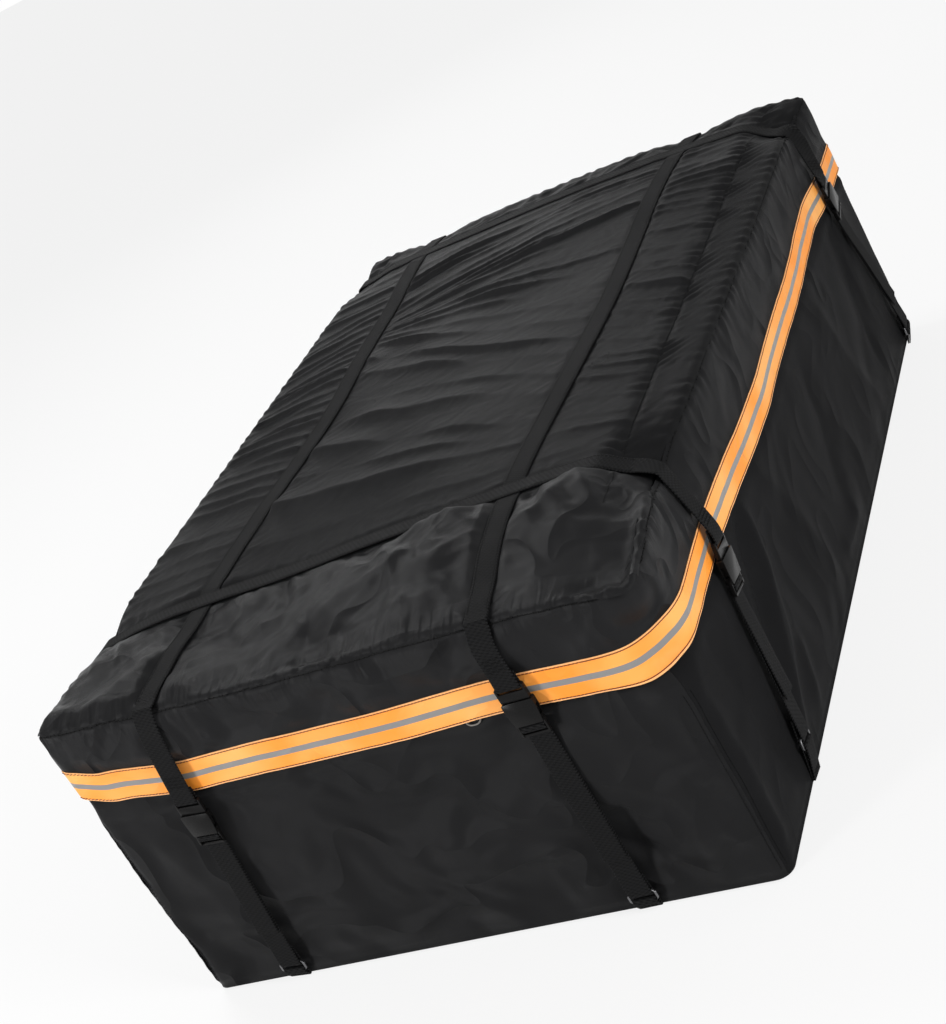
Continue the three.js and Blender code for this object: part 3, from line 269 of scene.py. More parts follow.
def linkMesh(name, points, faces, uvs, material, sharp=55):
    mesh = bpy.data.meshes.new(name)
    mesh.from_pydata([tuple(p) for p in (np.asarray(points) * mm).tolist()], [], faces)
    if uvs is not None:
        layer = mesh.uv_layers.new(name="UVMap")
        index = np.zeros(len(mesh.loops), np.int32)
        mesh.loops.foreach_get("vertex_index", index)
        layer.data.foreach_set("uv", (np.asarray(uvs) * mm)[index].astype(np.float32).ravel())
    mesh.materials.append(material)
    mesh.shade_smooth()
    mesh.set_sharp_from_angle(angle=math.radians(sharp))
    mesh.update()
    return linked(name, mesh)


# Modifiers are applied: the piece keeps the mesh they make
def applied(piece, sharp):
    made = bpy.data.meshes.new_from_object(piece.evaluated_get(bpy.context.evaluated_depsgraph_get()))
    piece.modifiers.clear()
    piece.data = made
    made.name = piece.name
    made.shade_smooth()
    made.set_sharp_from_angle(angle=math.radians(sharp))


def tubeFaces(rings, sides):
    faces = [
        (i * sides + k, i * sides + (k + 1) % sides, (i + 1) * sides + (k + 1) % sides, (i + 1) * sides + k)
        for i in range(rings - 1) for k in range(sides)
    ]
    return faces + [tuple(range(sides - 1, -1, -1)), tuple((rings - 1) * sides + k for k in range(sides))]


def facedOut(piece):
    check = bmesh.new()
    check.from_mesh(piece.data)
    if check.calc_volume(signed=True) < 0:
        bmesh.ops.reverse_faces(check, faces=check.faces)
        check.to_mesh(piece.data)
    check.free()
    return piece


def runAlong(points):
    return np.concatenate([[0], np.cumsum(np.linalg.norm(np.diff(points, axis=0), axis=1))])


def gridNormals(points):
    along = np.gradient(points, axis=1)
    up = np.gradient(points, axis=0)
    n = np.cross(along, up)
    return n / np.maximum(np.linalg.norm(n, axis=-1, keepdims=True), 1e-9)


def gridFaces(rows, columns):
    i, j = np.meshgrid(np.arange(rows - 1), np.arange(columns - 1), indexing="ij")
    a = (i * columns + j).ravel()
    return np.stack([a, a + 1, a + columns + 1, a + columns], 1)


# A closed sheet from a grid of points: its outer face, an inner face behind it, which may be coarser, and a rim
def sheetPiece(name, points, thick, material, uvs=None, flip=False, skip=1):
    rows, columns = points.shape[:2]
    size = rows * columns
    out = gridNormals(points) * (-1 if flip else 1)
    inner = (points - out * thick)[::skip, ::skip]
    innerRows, innerColumns = inner.shape[:2]
    allPoints = np.concatenate([points.reshape(-1, 3), inner.reshape(-1, 3)])
    faces = gridFaces(rows, columns).tolist() + (gridFaces(innerRows, innerColumns)[:, ::-1] + size).tolist()
    ring = [(0, c) for c in range(columns)] + [(r, columns - 1) for r in range(1, rows)]
    ring += [(rows - 1, c) for c in range(columns - 2, -1, -1)] + [(r, 0) for r in range(rows - 2, -1, -1)]
    for k in range(0, len(ring) - 1, skip):
        run = ring[k:k + skip + 1]
        ends = [size + (r // skip) * innerColumns + c // skip for r, c in (run[0], run[-1])]
        faces.append([r * columns + c for r, c in reversed(run)] + ends)
    if flip:
        faces = [face[::-1] for face in faces]
    if uvs is None:
        steps = np.linalg.norm(np.diff(points, axis=1, prepend=points[:, :1]), axis=-1)
        rises = np.linalg.norm(np.diff(points, axis=0, prepend=points[:1]), axis=-1)
        uvs = np.stack([np.cumsum(steps, 1), np.cumsum(rises, 0)], -1)
    both = np.concatenate([uvs.reshape(-1, 2), uvs[::skip, ::skip].reshape(-1, 2)])
    return linkMesh(name, allPoints, faces, both, material)


def onBag(piece, slotName, *nodes, body="bag"):
    if nodes:
        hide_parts(*nodes)
    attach(piece, body)
    return piece


# Inputs are sockets to link or values to set
def addNode(tree, kind, inputs=None, **settings):
    node = tree.nodes.new(kind)
    for label, value in settings.items():
        setattr(node, label, value)
    for label, value in (inputs or {}).items():
        if isinstance(value, bpy.types.NodeSocket):
            tree.links.new(value, node.inputs[label])
        else:
            node.inputs[label].default_value = value
    return node


def groupOf(name, kind, inputs, outputs):
    tree = bpy.data.node_groups.new(name, kind)
    for label, socket, value in inputs:
        made = tree.interface.new_socket(name=label, in_out="INPUT", socket_type="NodeSocket" + socket)
        if value is not None:
            made.default_value = value
    for label, socket in outputs:
        tree.interface.new_socket(name=label, in_out="OUTPUT", socket_type="NodeSocket" + socket)
    return tree, tree.nodes.new("NodeGroupInput").outputs, tree.nodes.new("NodeGroupOutput").inputs


def math2(tree, operation, *values):
    return addNode(tree, "ShaderNodeMath", dict(enumerate(values)), operation=operation).outputs[0]


def sine(tree, at, pitch):
    return math2(tree, "SINE", math2(tree, "MULTIPLY", math2(tree, "DIVIDE", at, pitch), 2 * math.pi))


# Plain weave, over and under, and slanted ribs, from the piece's own UV map, in metres
def makeWeaveGroup():
    tree, ins, outs = groupOf(
        "weave", "ShaderNodeTree", [("Pitch", "Float", 0.0009)], [("Height", "Float"), ("Rib", "Float")]
    )
    coords = addNode(tree, "ShaderNodeUVMap", uv_map="UVMap").outputs["UV"]
    u, v, _ = addNode(tree, "ShaderNodeSeparateXYZ", {0: coords}).outputs
    height = math2(tree, "MULTIPLY", sine(tree, u, ins["Pitch"]), sine(tree, v, ins["Pitch"]))
    tree.links.new(height, outs["Height"])
    slanted = math2(tree, "ADD", u, math2(tree, "MULTIPLY", v, 0.45))
    tree.links.new(sine(tree, slanted, ins["Pitch"]), outs["Rib"])
    return tree


# Fine crinkle of coated cloth, from Object coordinates, and a patch noise as Mask, which the cloths use for patches of
# painted sheen in their colour
def makeCrinkleGroup():
    inputs = [("Scale", "Float", 30.0), ("Seed", "Float", 0.0)]
    tree, ins, outs = groupOf("crinkle", "ShaderNodeTree", inputs, [("Height", "Float"), ("Mask", "Float")])
    coords = tree.nodes.new("ShaderNodeTexCoord").outputs["Object"]
    at = addNode(tree, "ShaderNodeVectorMath", {0: coords, 1: ins["Seed"]}, operation="ADD").outputs[0]
    wide = addNode(tree, "ShaderNodeTexNoise", {"Vector": at, "Scale": ins["Scale"], "Detail": 1.2, "Distortion": 0.6})
    crest = math2(tree, "ABSOLUTE", math2(tree, "SUBTRACT", wide.outputs["Fac"], 0.5))
    tree.links.new(math2(tree, "MULTIPLY", crest, -2.0), outs["Height"])
    patchNoise = addNode(tree, "ShaderNodeTexNoise", {"Vector": at, "Scale": 9, "Detail": 2})
    tree.links.new(patchNoise.outputs["Fac"], outs["Mask"])
    return tree


weaveGroup = makeWeaveGroup()
crinkleGroup = makeCrinkleGroup()


def placed(tree, group, **values):
    node = tree.nodes.new("ShaderNodeGroup")
    node.node_tree = group
    for label, value in values.items():
        node.inputs[label].default_value = value
    return node.outputs


def plainMaterial(name, color, rough, specular=0.5, metal=0.0):
    material = bpy.data.materials.new(name)
    material.use_nodes = True
    shader = material.node_tree.nodes["Principled BSDF"]
    shader.inputs["Base Color"].default_value = (*color, 1)
    shader.inputs["Roughness"].default_value = rough
    shader.inputs["Specular IOR Level"].default_value = specular
    shader.inputs["Metallic"].default_value = metal
    return material, material.node_tree, shader


def mixColor(tree, factor, low, high):
    low, high = ((*value, 1) if isinstance(value, tuple) else value for value in (low, high))
    node = addNode(tree, "ShaderNodeMix", {"Factor": factor, "A": low, "B": high}, data_type="RGBA")
    return node.outputs["Result"]


def rampValue(tree, factor, low, high):
    return addNode(tree, "ShaderNodeMapRange", {"Value": factor, "To Min": low, "To Max": high}).outputs["Result"]


def bumped(tree, shader, layers):
    normal = None
    for height, strength, distance in layers:
        node = addNode(tree, "ShaderNodeBump", {"Strength": strength, "Distance": distance, "Height": height})
        if normal is not None:
            tree.links.new(normal, node.inputs["Normal"])
        normal = node.outputs["Normal"]
    tree.links.new(normal, shader.inputs["Normal"])


# Fine gathers that a seam draws in the cloth: they lie square to it and die out away from it
def seamGathers(tree, output, far, near):
    coords = tree.nodes.new("ShaderNodeTexCoord").outputs[output]
    away = addNode(tree, "ShaderNodeSeparateXYZ", {0: coords}).outputs["Y"]
    mask = addNode(tree, "ShaderNodeMapRange", {"Value": away, "From Min": far, "From Max": near})
    narrow = addNode(tree, "ShaderNodeVectorMath", {0: coords, 1: (1, 0.22, 0.22)}, operation="MULTIPLY")
    folds = addNode(
        tree, "ShaderNodeTexNoise", {"Vector": narrow.outputs[0], "Scale": 85, "Detail": 1, "Distortion": 0.4}
    )
    return math2(tree, "MULTIPLY", folds.outputs["Fac"], mask.outputs["Result"])


def clothMaterial(
    name, low, high, rough, specular, crinkleScale, crinkleDepth, seed,
    pitch=0.0009, sheen=0.005, weaveDepth=0.00012, ribbed=False, gathers=None,
):
    material, tree, shader = plainMaterial(name, low, rough[0], specular)
    threads = placed(tree, weaveGroup, Pitch=pitch)["Rib" if ribbed else "Height"]
    crinkle = placed(tree, crinkleGroup, Scale=crinkleScale, Seed=seed)
    # On the cloths the colour goes from dark to light in patches: painted sheen
    shade = crinkle["Mask"]
    # On ribbed webbing the colour follows the ribs: painted highlight on each crest, painted shade between them
    if ribbed:
        shade = math2(tree, "ADD", math2(tree, "MULTIPLY", threads, 0.5), 0.5)
    tree.links.new(mixColor(tree, shade, low, high), shader.inputs["Base Color"])
    tree.links.new(rampValue(tree, crinkle["Mask"], *rough), shader.inputs["Roughness"])
    shader.inputs["Sheen Weight"].default_value = sheen
    shader.inputs["Sheen Roughness"].default_value = 0.5
    layers = [(crinkle["Height"], 0.9, crinkleDepth), (threads, 0.35, weaveDepth)]
    if gathers:
        layers.insert(1, (seamGathers(tree, *gathers), 0.9, 0.006))
    bumped(tree, shader, layers)
    return material


# Part of a piece shows a copy of its cloth in another tone: the front bay of the lid a lighter one, as painted light,
# the flap beyond the front a darker one, as painted shade; the change lies under a strap
def paintedLightCopy(piece, material, chosen):
    piece.data.materials.append(material)
    for face in piece.data.polygons:
        if chosen(face.center):
            face.material_index = 1


def grey(value, blue):
    return (value, value, blue)


# Name, dark and light colour, mixed in patches as painted sheen, roughness, specular level, crinkle scale and depth,
# seed
clothLooks = {
    "lid": ("Lid", grey(0.0100, 0.0104), grey(0.0135, 0.0141), (0.25, 0.33), 0.0080, 20, 0.0010, 1.0),
    # The next row is a lighter copy of the lid cloth: painted light on the front bay
    "bay": ("Bay", grey(0.0125, 0.0130), grey(0.0170, 0.0178), (0.25, 0.33), 0.032, 9.5, 0.0155, 3.0),
    "flap": ("Flap", grey(0.0130, 0.0136), grey(0.0180, 0.0188), (0.27, 0.35), 0.036, 10, 0.0320, 5.0),
    # The next row is a darker copy of the flap cloth: painted shade on the flap beyond the front and on the lid border
    "flapSide": ("FlapSide", grey(0.0110, 0.0115), grey(0.0150, 0.0157), (0.30, 0.38), 0.010, 10, 0.0100, 5.0),
    # The next three rows are copies of one wall cloth, toned by side as painted light and painted shade: lighter on
    # the front, darkest on the right, between on the rear and left
    "wall": ("Wall", grey(0.0115, 0.0120), grey(0.0165, 0.0172), (0.26, 0.34), 0.028, 7.5, 0.0340, 9.0),
    "side": ("Side", grey(0.0095, 0.0100), grey(0.0135, 0.0141), (0.34, 0.44), 0.004, 7, 0.0110, 11.0),
    "far": ("Far", grey(0.0108, 0.0113), grey(0.0152, 0.0159), (0.30, 0.38), 0.014, 7.5, 0.0120, 23.0),
    "base": ("Base", grey(0.008, 0.009), grey(0.012, 0.013), (0.5, 0.6), 0.3, 14, 0.0008, 13.0),
}
seamPuckers = {"bay": ("Object", -0.605, -0.645), "flap": ("UV", 0.385, 0.425)}
cloth = {
    key: clothMaterial("coatedCloth" + name, *look, gathers=seamPuckers.get(key))
    for key, (name, *look) in clothLooks.items()
}
# The webbing's colour carries painted highlight and painted shade on its ribs, over their real bump
webCloth = clothMaterial(
    "webbing", grey(0.0008, 0.0009), grey(0.0165, 0.0170), (0.5, 0.62), 0.035, 90, 0.0002, 21.0,
    pitch=0.0040, sheen=0.01, weaveDepth=0.0010, ribbed=True,
)


# Orange tape: pale woven edges, orange body, a grey reflective stripe down the middle; v runs across, 0 to 1
bandLook = {
    "orange": (1.0, 0.46, 0.120),
    "orangeDeep": (1.0, 0.32, 0.030),
    "edge": (1.0, 0.50, 0.20),
    "stripe": (0.24, 0.235, 0.23),
    "edgeShare": 0.035,
    "stripeHalf": 0.085,
}


def bandMaterial(look):
    material, tree, shader = plainMaterial("orangeBand", look["orange"], 0.5, 0.3)
    across = addNode(tree, "ShaderNodeAttribute", attribute_name="across").outputs["Fac"]
    fromMiddle = math2(tree, "ABSOLUTE", math2(tree, "SUBTRACT", across, 0.5))
    crinkle = placed(tree, crinkleGroup, Scale=24, Seed=31.0)
    weave = placed(tree, weaveGroup, Pitch=0.0012)
    faded = math2(tree, "MULTIPLY", math2(tree, "SUBTRACT", crinkle["Mask"], 0.36), 3.6)
    body = mixColor(tree, faded, look["orange"], look["orangeDeep"])
    edge = math2(tree, "GREATER_THAN", fromMiddle, 0.5 - look["edgeShare"])
    stripe = math2(tree, "LESS_THAN", fromMiddle, look["stripeHalf"])
    color = mixColor(tree, stripe, mixColor(tree, edge, body, look["edge"]), look["stripe"])
    tree.links.new(color, shader.inputs["Base Color"])
    tree.links.new(rampValue(tree, stripe, 0.52, 0.34), shader.inputs["Roughness"])
    bumped(tree, shader, [(crinkle["Height"], 0.9, 0.0030), (weave["Height"], 0.3, 0.0001)])
    return material


bandCloth = bandMaterial(bandLook)


def mouldedMaterial(name, color, rough, specular, metal, grainScale, grainDepth):
    material, tree, shader = plainMaterial(name, color, rough[0], specular, metal)
    coords = tree.nodes.new("ShaderNodeTexCoord").outputs["Object"]
    grain = addNode(tree, "ShaderNodeTexNoise", {"Vector": coords, "Scale": grainScale, "Detail": 4}).outputs["Fac"]
    tree.links.new(rampValue(tree, grain, *rough), shader.inputs["Roughness"])
    shade = tuple(min(1.0, c * 1.35 + 0.002) for c in color)
    tree.links.new(mixColor(tree, grain, color, shade), shader.inputs["Base Color"])
    bumped(tree, shader, [(grain, 0.25, grainDepth)])
    return material


# Name, colour, roughness, specular level, metal, grain scale and depth
finishLooks = {
    "plastic": ("buckleBlack", (0.0042, 0.0040, 0.0040), (0.20, 0.32), 0.10, 0.0, 900, 0.00004),
    "ring": ("ringWire", grey(0.13, 0.135), (0.30, 0.42), 0.5, 1.0, 500, 0.00003),
    "slider": ("sliderCoated", grey(0.03, 0.032), (0.3, 0.45), 0.5, 0.6, 600, 0.00003),
    "coil": ("coilBlack", grey(0.012, 0.013), (0.3, 0.45), 0.4, 0.0, 700, 0.00003),
    "cord": ("paleCord", (0.17, 0.155, 0.14), (0.6, 0.75), 0.3, 0.0, 1500, 0.0001),
    "blackThread": ("blackThread", grey(0.004, 0.004), (0.6, 0.75), 0.05, 0.0, 2500, 0.00005),
    "redThread": ("rustThread", (0.10, 0.012, 0.005), (0.5, 0.65), 0.3, 0.0, 2500, 0.00005),
    "zipTape": ("zipTapePlain", grey(0.010, 0.011), (0.6, 0.75), 0.3, 0.0, 2200, 0.00008),
}
finish = {key: mouldedMaterial(*look) for key, look in finishLooks.items()}
print("stage: materials made")

# The lid panel
lid = {
    "thick": 1.4,
    "columns": 177,
    "rows": 417,
    "rimDrop": 3.2,
    "gatherX": 347,
    "frontStrap": (-440, 0.06),
    "rearStrap": (562, 16),
    "leftStrap": [(-650, -236), (-450, -226), (0, -216), (300, -238), (575, -268), (650, -268)],
    "rightStrap": [(-650, 219), (-400, 214), (0, 226), (560, 212), (650, 214)],
    # crease lines of the middle bay: mark, then three points of each from left to right
    "fan": [
        (-440, (-230, -454), (0, -440), (215, -427)),
        (-315, (-226, -296), (-20, -312), (190, -330)),
        (-195, (-226, -124), (-54, -176), (106, -236)),
        (-85, (-217, -33), (-51, -64), (165, -161)),
        (-17, (-204, 72), (-3, -16), (183, -120)),
        (72, (-193, 174), (8, 68), (183, -13)),
        (168, (-199, 227), (3, 167), (190, 97)),
        (240, (-205, 252), (0, 246), (190, 210)),
        (315, (-200, 276), (0, 319), (185, 335)),
        (386, (-210, 305), (5, 388), (183, 428)),
        (455, (-215, 380), (0, 455), (185, 468)),
        (519, (-225, 461), (-34, 512), (183, 512)),
        (562, (-230, 562), (0, 564), (215, 560)),
    ],
    "leftSlope": [(-440, -0.05), (-130, -0.18), (35, -0.02), (205, 0.23), (424, 0.07), (560, 0.02)],
    "rightSlope": [(-440, -0.1), (-45, -0.44), (162, -0.34), (458, -0.04), (560, 0.0)],
}


def frontStrapAt(x):
    return lid["frontStrap"][0] + lid["frontStrap"][1] * x


def rearStrapAt(x):
    return lid["rearStrap"][0] - lid["rearStrap"][1] * ramp(180, 380, x)


def sidePlaces(x, y):
    return (x + halfWide, rightStart + y + halfLong, rearStart + halfWide - x, leftStart + halfLong - y)


def sideShares(x, y):
    far = (-y / halfLong, x / halfWide, y / halfLong, -x / halfWide)
    return [ramp(start, 1, value) for start, value in zip((0.82, 0.78, 0.84, 0.78), far)]


def lidBase(x, y):
    u, v = np.clip(x / halfWide, -1, 1), np.clip(y / halfLong, -1, 1)
    s, t = (u + 1) / 2, (v + 1) / 2
    level = lambda q: tableAt(bag["seamHeight"], np.mod(q, around))
    front, right, rear, left = [level(q) for q in sidePlaces(u * halfWide, v * halfLong)]
    c00, c10, c11, c01 = [level(q) for q in bag["sideStarts"]]
    along = (1 - t) * front + t * rear + (1 - s) * left + s * right
    twice = (1 - s) * (1 - t) * c00 + s * (1 - t) * c10 + s * t * c11 + (1 - s) * t * c01
    dome = (1 - u**4) * (1 - v**4)
    drop = sum(pullAt(q) * bag["pullDrop"] * share for q, share in zip(sidePlaces(x, y), sideShares(x, y)))
    return along - twice + bag["lidCrown"] * dome - drop


# One run of creases: positions along the bag, each with its own height
def creaseRun(first, last, gaps, rises, seed):
    rng = np.random.default_rng(seed)
    spots, heights = [first], []
    while spots[-1] < last:
        gap = float(tableAt(gaps, spots[-1])) * rng.uniform(0.7, 1.35)
        heights.append(float(tableAt(rises, spots[-1])) * rng.uniform(0.55, 1.25))
        spots.append(spots[-1] + gap)
    return np.array(spots), np.array(heights + [heights[-1]])


# A crease is a narrow crest: steep towards the front of the bag, easy behind
def creaseHeight(place, x, run, seed):
    spots, heights = run
    at = place + 7 * latticeNoise(x / 120, place / 150, seed) + 2.2 * latticeNoise(x / 42, place / 60, seed + 1)
    k = np.clip(np.searchsorted(spots, at) - 1, 0, len(spots) - 2)
    total = np.zeros_like(at)
    for n, front in ((k, False), (k + 1, True)):
        gap = spots[np.minimum(k + 1, len(spots) - 1)] - spots[k]
        wide = np.maximum(gap * (0.17 if front else 0.5), 4.5 if front else 8.0)
        swell = np.clip(0.6 + 0.95 * latticeNoise(x / 150 + n * 3.7, n * 1.9 + 0 * x, seed + 2), 0.04, 1.3)
        total += heights[n] * swell * np.exp(-((np.abs(at - spots[n]) / wide) ** 1.25))
    return total


# first and last place, gap and height of the creases along the bag, seed
middleRun = creaseRun(
    -425, 545, [(-430, 74), (-150, 60), (20, 46), (120, 31), (545, 27)],
    [(-430, 3.0), (-250, 4.6), (0, 4.8), (150, 3.7), (545, 3.1)], 11,
)
leftRun = creaseRun(-430, 560, [(-430, 40), (0, 30), (560, 25)], [(-430, 2.6), (0, 3.4), (560, 3.2)], 12)
rightRun = creaseRun(
    -430, 560, [(-430, 46), (0, 34), (300, 26), (560, 24)],
    [(-430, 1.6), (-100, 2.2), (150, 2.9), (560, 2.9)], 13,
)


# The place in the middle bay on the scale of the crease lines, and how much the fan spreads them there
def middlePlace(x, y):
    marks = np.array([-800.0] + [line[0] for line in lid["fan"]] + [900.0])
    place, spread = np.empty_like(y), np.empty_like(y)
    window = np.hanning(27)[1:-1] / np.hanning(27).sum()
    dense = np.arange(-700, 700, 2.0)
    for column in range(x.shape[1]):
        at = min(230, max(-245, x[0, column]))
        rows = []
        for _, (xa, ya), (xb, yb), (xc, yc) in lid["fan"]:
            first, last = (yb - ya) / (xb - xa), (yc - yb) / (xc - xb)
            bend = (last - first) / (xc - xa)
            rows.append(ya + first * (at - xa) + bend * (at - xa) * (at - xb))
        rows = np.array([rows[0] - 360] + rows + [rows[-1] + 380])
        rows = np.maximum.accumulate(rows + np.arange(len(rows)) * 2e-2)
        scale = np.convolve(np.pad(np.interp(dense, rows, marks), 12, mode="edge"), window, mode="valid")
        place[:, column] = np.interp(y[:, column], dense, scale)
        spread[:, column] = np.interp(y[:, column], dense, np.gradient(scale, dense))
    return place, spread


def lidRise(x, y):
    fromLeft, fromRight = x - tableAt(lid["leftStrap"], y), x - tableAt(lid["rightStrap"], y)
    strapF, strapB = y - frontStrapAt(x), y - rearStrapAt(x)
    toSeam = np.minimum(halfWide - np.abs(x), halfLong - np.abs(y))
    middleBay = ramp(-12, 12, strapF) * ramp(-12, 12, -strapB)
    inMiddle = ramp(-14, 10, fromLeft) * ramp(-14, 10, -fromRight)
    inLeft = ramp(-10, 14, -fromLeft)
    inRight = ramp(-10, 14, fromRight) * ramp(-8, 10, lid["gatherX"] - x)
    leftMark = tableAt(lid["leftSlope"], y) * (x + 235)
    rightMark = tableAt(lid["rightSlope"], y) * (x - 215)
    fade = 0.62 + 0.55 * ramp(240, -180, x)
    place, spread = middlePlace(x, y)
    fan = fade * np.clip(1.45 / spread, 0, 1) ** 1.5
    h = 2.1 * inMiddle * middleBay * fan * creaseHeight(place, x, middleRun, 61)
    h += 1.6 * inLeft * middleBay * creaseHeight(y - leftMark, x, leftRun, 64)
    h += 1.7 * inRight * middleBay * creaseHeight(y - rightMark, x, rightRun, 67)
    h -= 1.2 * middleBay
    # crumpled bay before the front strap, and slanting folds behind the rear one
    frontBay = ramp(10, -26, strapF)
    h += frontBay * (facets(x, y, 112, 15.0, 71) + facets(x, y, 50, 5.0, 72))
    h += frontBay * (facets(x, y, 24, 1.2, 73) + crumple(x, y, 60, 2.4, 79))
    pleats = np.clip(latticeNoise((x + 0.5 * strapF) / 26, strapF / 190, 74), -0.3, 1)
    h += frontBay * 5.0 * np.exp(-((strapF + 55) / 42) ** 2) * pleats
    rearBay = ramp(-10, 24, strapB)
    slant = y - 0.42 * x
    h += rearBay * (crumple(slant * 0.5, x * 0.45, 19, 3.6, 75) + facets(x, y, 60, 2.2, 76))
    # pucker rows along what is sewn down
    cross = np.exp(-np.abs(strapF) / 19) * ramp(9, 16, np.abs(strapF))
    h += 3.6 * cross * beat(x + 0.35 * strapF, 23, 81) * patchy(x, 44, 82)
    for away, seed in ((fromLeft, 93), (fromRight, 96)):
        beside = np.exp(-np.abs(away) / 15) * ramp(9, 15, np.abs(away))
        h += 2.3 * beside * beat(y - 0.6 * np.abs(away), 21, seed) * patchy(y, 50, seed + 1)
    cross = np.exp(-np.abs(strapB) / 20) * ramp(9, 16, np.abs(strapB))
    h += 1.8 * cross * beat(x, 27, 83) * patchy(x, 50, 84)
    strip = ramp(345, 350, x) * np.exp(-np.clip(x - 350, 0, 60) / 13) * ramp(-520, -440, y)
    h += 3.0 * strip * beat(y - 1.15 * (x - 347), 19, 85) * patchy(y, 42, 86)
    leftOf = ramp(312, 342, x) * ramp(347, 343, x) * ramp(-440, -400, y)
    h += 2.0 * leftOf * beat(y + 0.35 * (x - 347), 21, 87) * patchy(y, 55, 94)
    h -= 2.6 * np.exp(-(((x - lid["gatherX"]) / 2.6) ** 2)) * ramp(-560, -470, y)
    h += 0.5 * crumple(x, y, 30, 1.0, 88) + 0.15 * crumple(x, y, 14, 1.0, 89)
    # webbing presses the cloth down
    straps = (np.abs(fromLeft), 2.6), (np.abs(fromRight), 2.6), (np.abs(strapF), 3.2), (np.abs(strapB), 2.6)
    press = np.ones_like(x)
    for away, _ in straps:
        press *= 0.12 + 0.88 * ramp(13, 25, away)
    h *= press * ramp(1, 26, toSeam)
    for away, depth in straps:
        h -= depth * np.exp(-((away / 15) ** 4)) * ramp(4, 50, toSeam)
    h += 2.5 * latticeNoise(x / 210, y / 210, 90) * ramp(5, 90, toSeam)
    # pucker row along the top seam
    edge = np.exp(-toSeam / 11) * ramp(0, 3, toSeam)
    at = np.where(halfWide - np.abs(x) < halfLong - np.abs(y), y, x)
    h += 2.2 * edge * beat(at, 25, 91) * patchy(at, 48, 92)
    return h - 4.6 * (1 - ramp(0, 5, toSeam)) - 0.8 * (1 - ramp(4, 22, toSeam))


# The corners of a flat grid are drawn in to their rounding
def roundCorners(x, y, halfX, halfY, radii):
    roundX, roundY = x.copy(), y.copy()
    for (cx, cy), radius in zip(cornerSpots, radii):
        sx, sy = np.sign(cx), np.sign(cy)
        dx, dy = sx * x - (halfX - radius), sy * y - (halfY - radius)
        inside = (dx > 0) & (dy > 0)
        far = np.maximum(dx, dy)
        long = np.maximum(np.hypot(dx, dy), 1e-9)
        roundX = np.where(inside, sx * (halfX - radius + dx / long * far), roundX)
        roundY = np.where(inside, sy * (halfY - radius + dy / long * far), roundY)
    return roundX, roundY


def edgeMatch(x, y, off):
    radii = [float(cornerRadius(corner, 435)) for corner in range(4)]
    roundX, roundY = roundCorners(x, y, halfWide, halfLong, radii)
    roundX *= (halfWide + off) / halfWide
    roundY *= (halfLong + off) / halfLong
    for side, (q, share) in enumerate(zip(sidePlaces(x, y), sideShares(x, y))):
        roundX -= normals[side][0] * pullAt(q) * share
        roundY -= normals[side][1] * pullAt(q) * share
    return roundX, roundY


def buildLid(look):
    us = np.concatenate([[-1, -0.992], np.linspace(-0.984, 0.984, look["columns"]), [0.992, 1]])
    vs = np.concatenate([[-1, -0.9955], np.linspace(-0.991, 0.991, look["rows"]), [0.9955, 1]])
    u, v = np.meshgrid(us, vs)
    x, y = u * halfWide, v * halfLong
    px, py = edgeMatch(x, y, -0.5)
    top = np.stack([px, py, lidBase(x, y) + lidRise(x, y)], -1)
    full = np.pad(top, ((1, 1), (1, 1), (0, 0)), mode="edge")
    for rim in (full[0], full[-1], full[:, 0], full[:, -1]):
        rim[:, :2] *= 0.9992
    for rim in (full[0], full[-1], full[1:-1, 0], full[1:-1, -1]):
        rim[:, 2] -= look["rimDrop"]
    uvs = np.pad(np.stack([x + halfWide, y + halfLong], -1), ((1, 1), (1, 1), (0, 0)), mode="edge")
    piece = sheetPiece("lidPanel", full, look["thick"] + 1.2, cloth["lid"], uvs, skip=2)
    # The front bay shows the lighter copy of the lid cloth: painted light
    paintedLightCopy(piece, cloth["bay"], lambda spot: spot.y - 0.05 * spot.x < -0.446)
    return piece, BVHTree.FromPolygons(top.reshape(-1, 3).tolist(), gridFaces(len(vs), len(us)).tolist())


lidPiece, lidTree = buildLid(lid)
onBag(lidPiece, "lid_fabric", "lid_panel")


def lidHeightAt(x, y):
    hit = lidTree.ray_cast(Vector((x, y, 900)), Vector((0, 0, -1)))
    return hit[0].z if hit[0] is not None else None


print("stage: lid made")

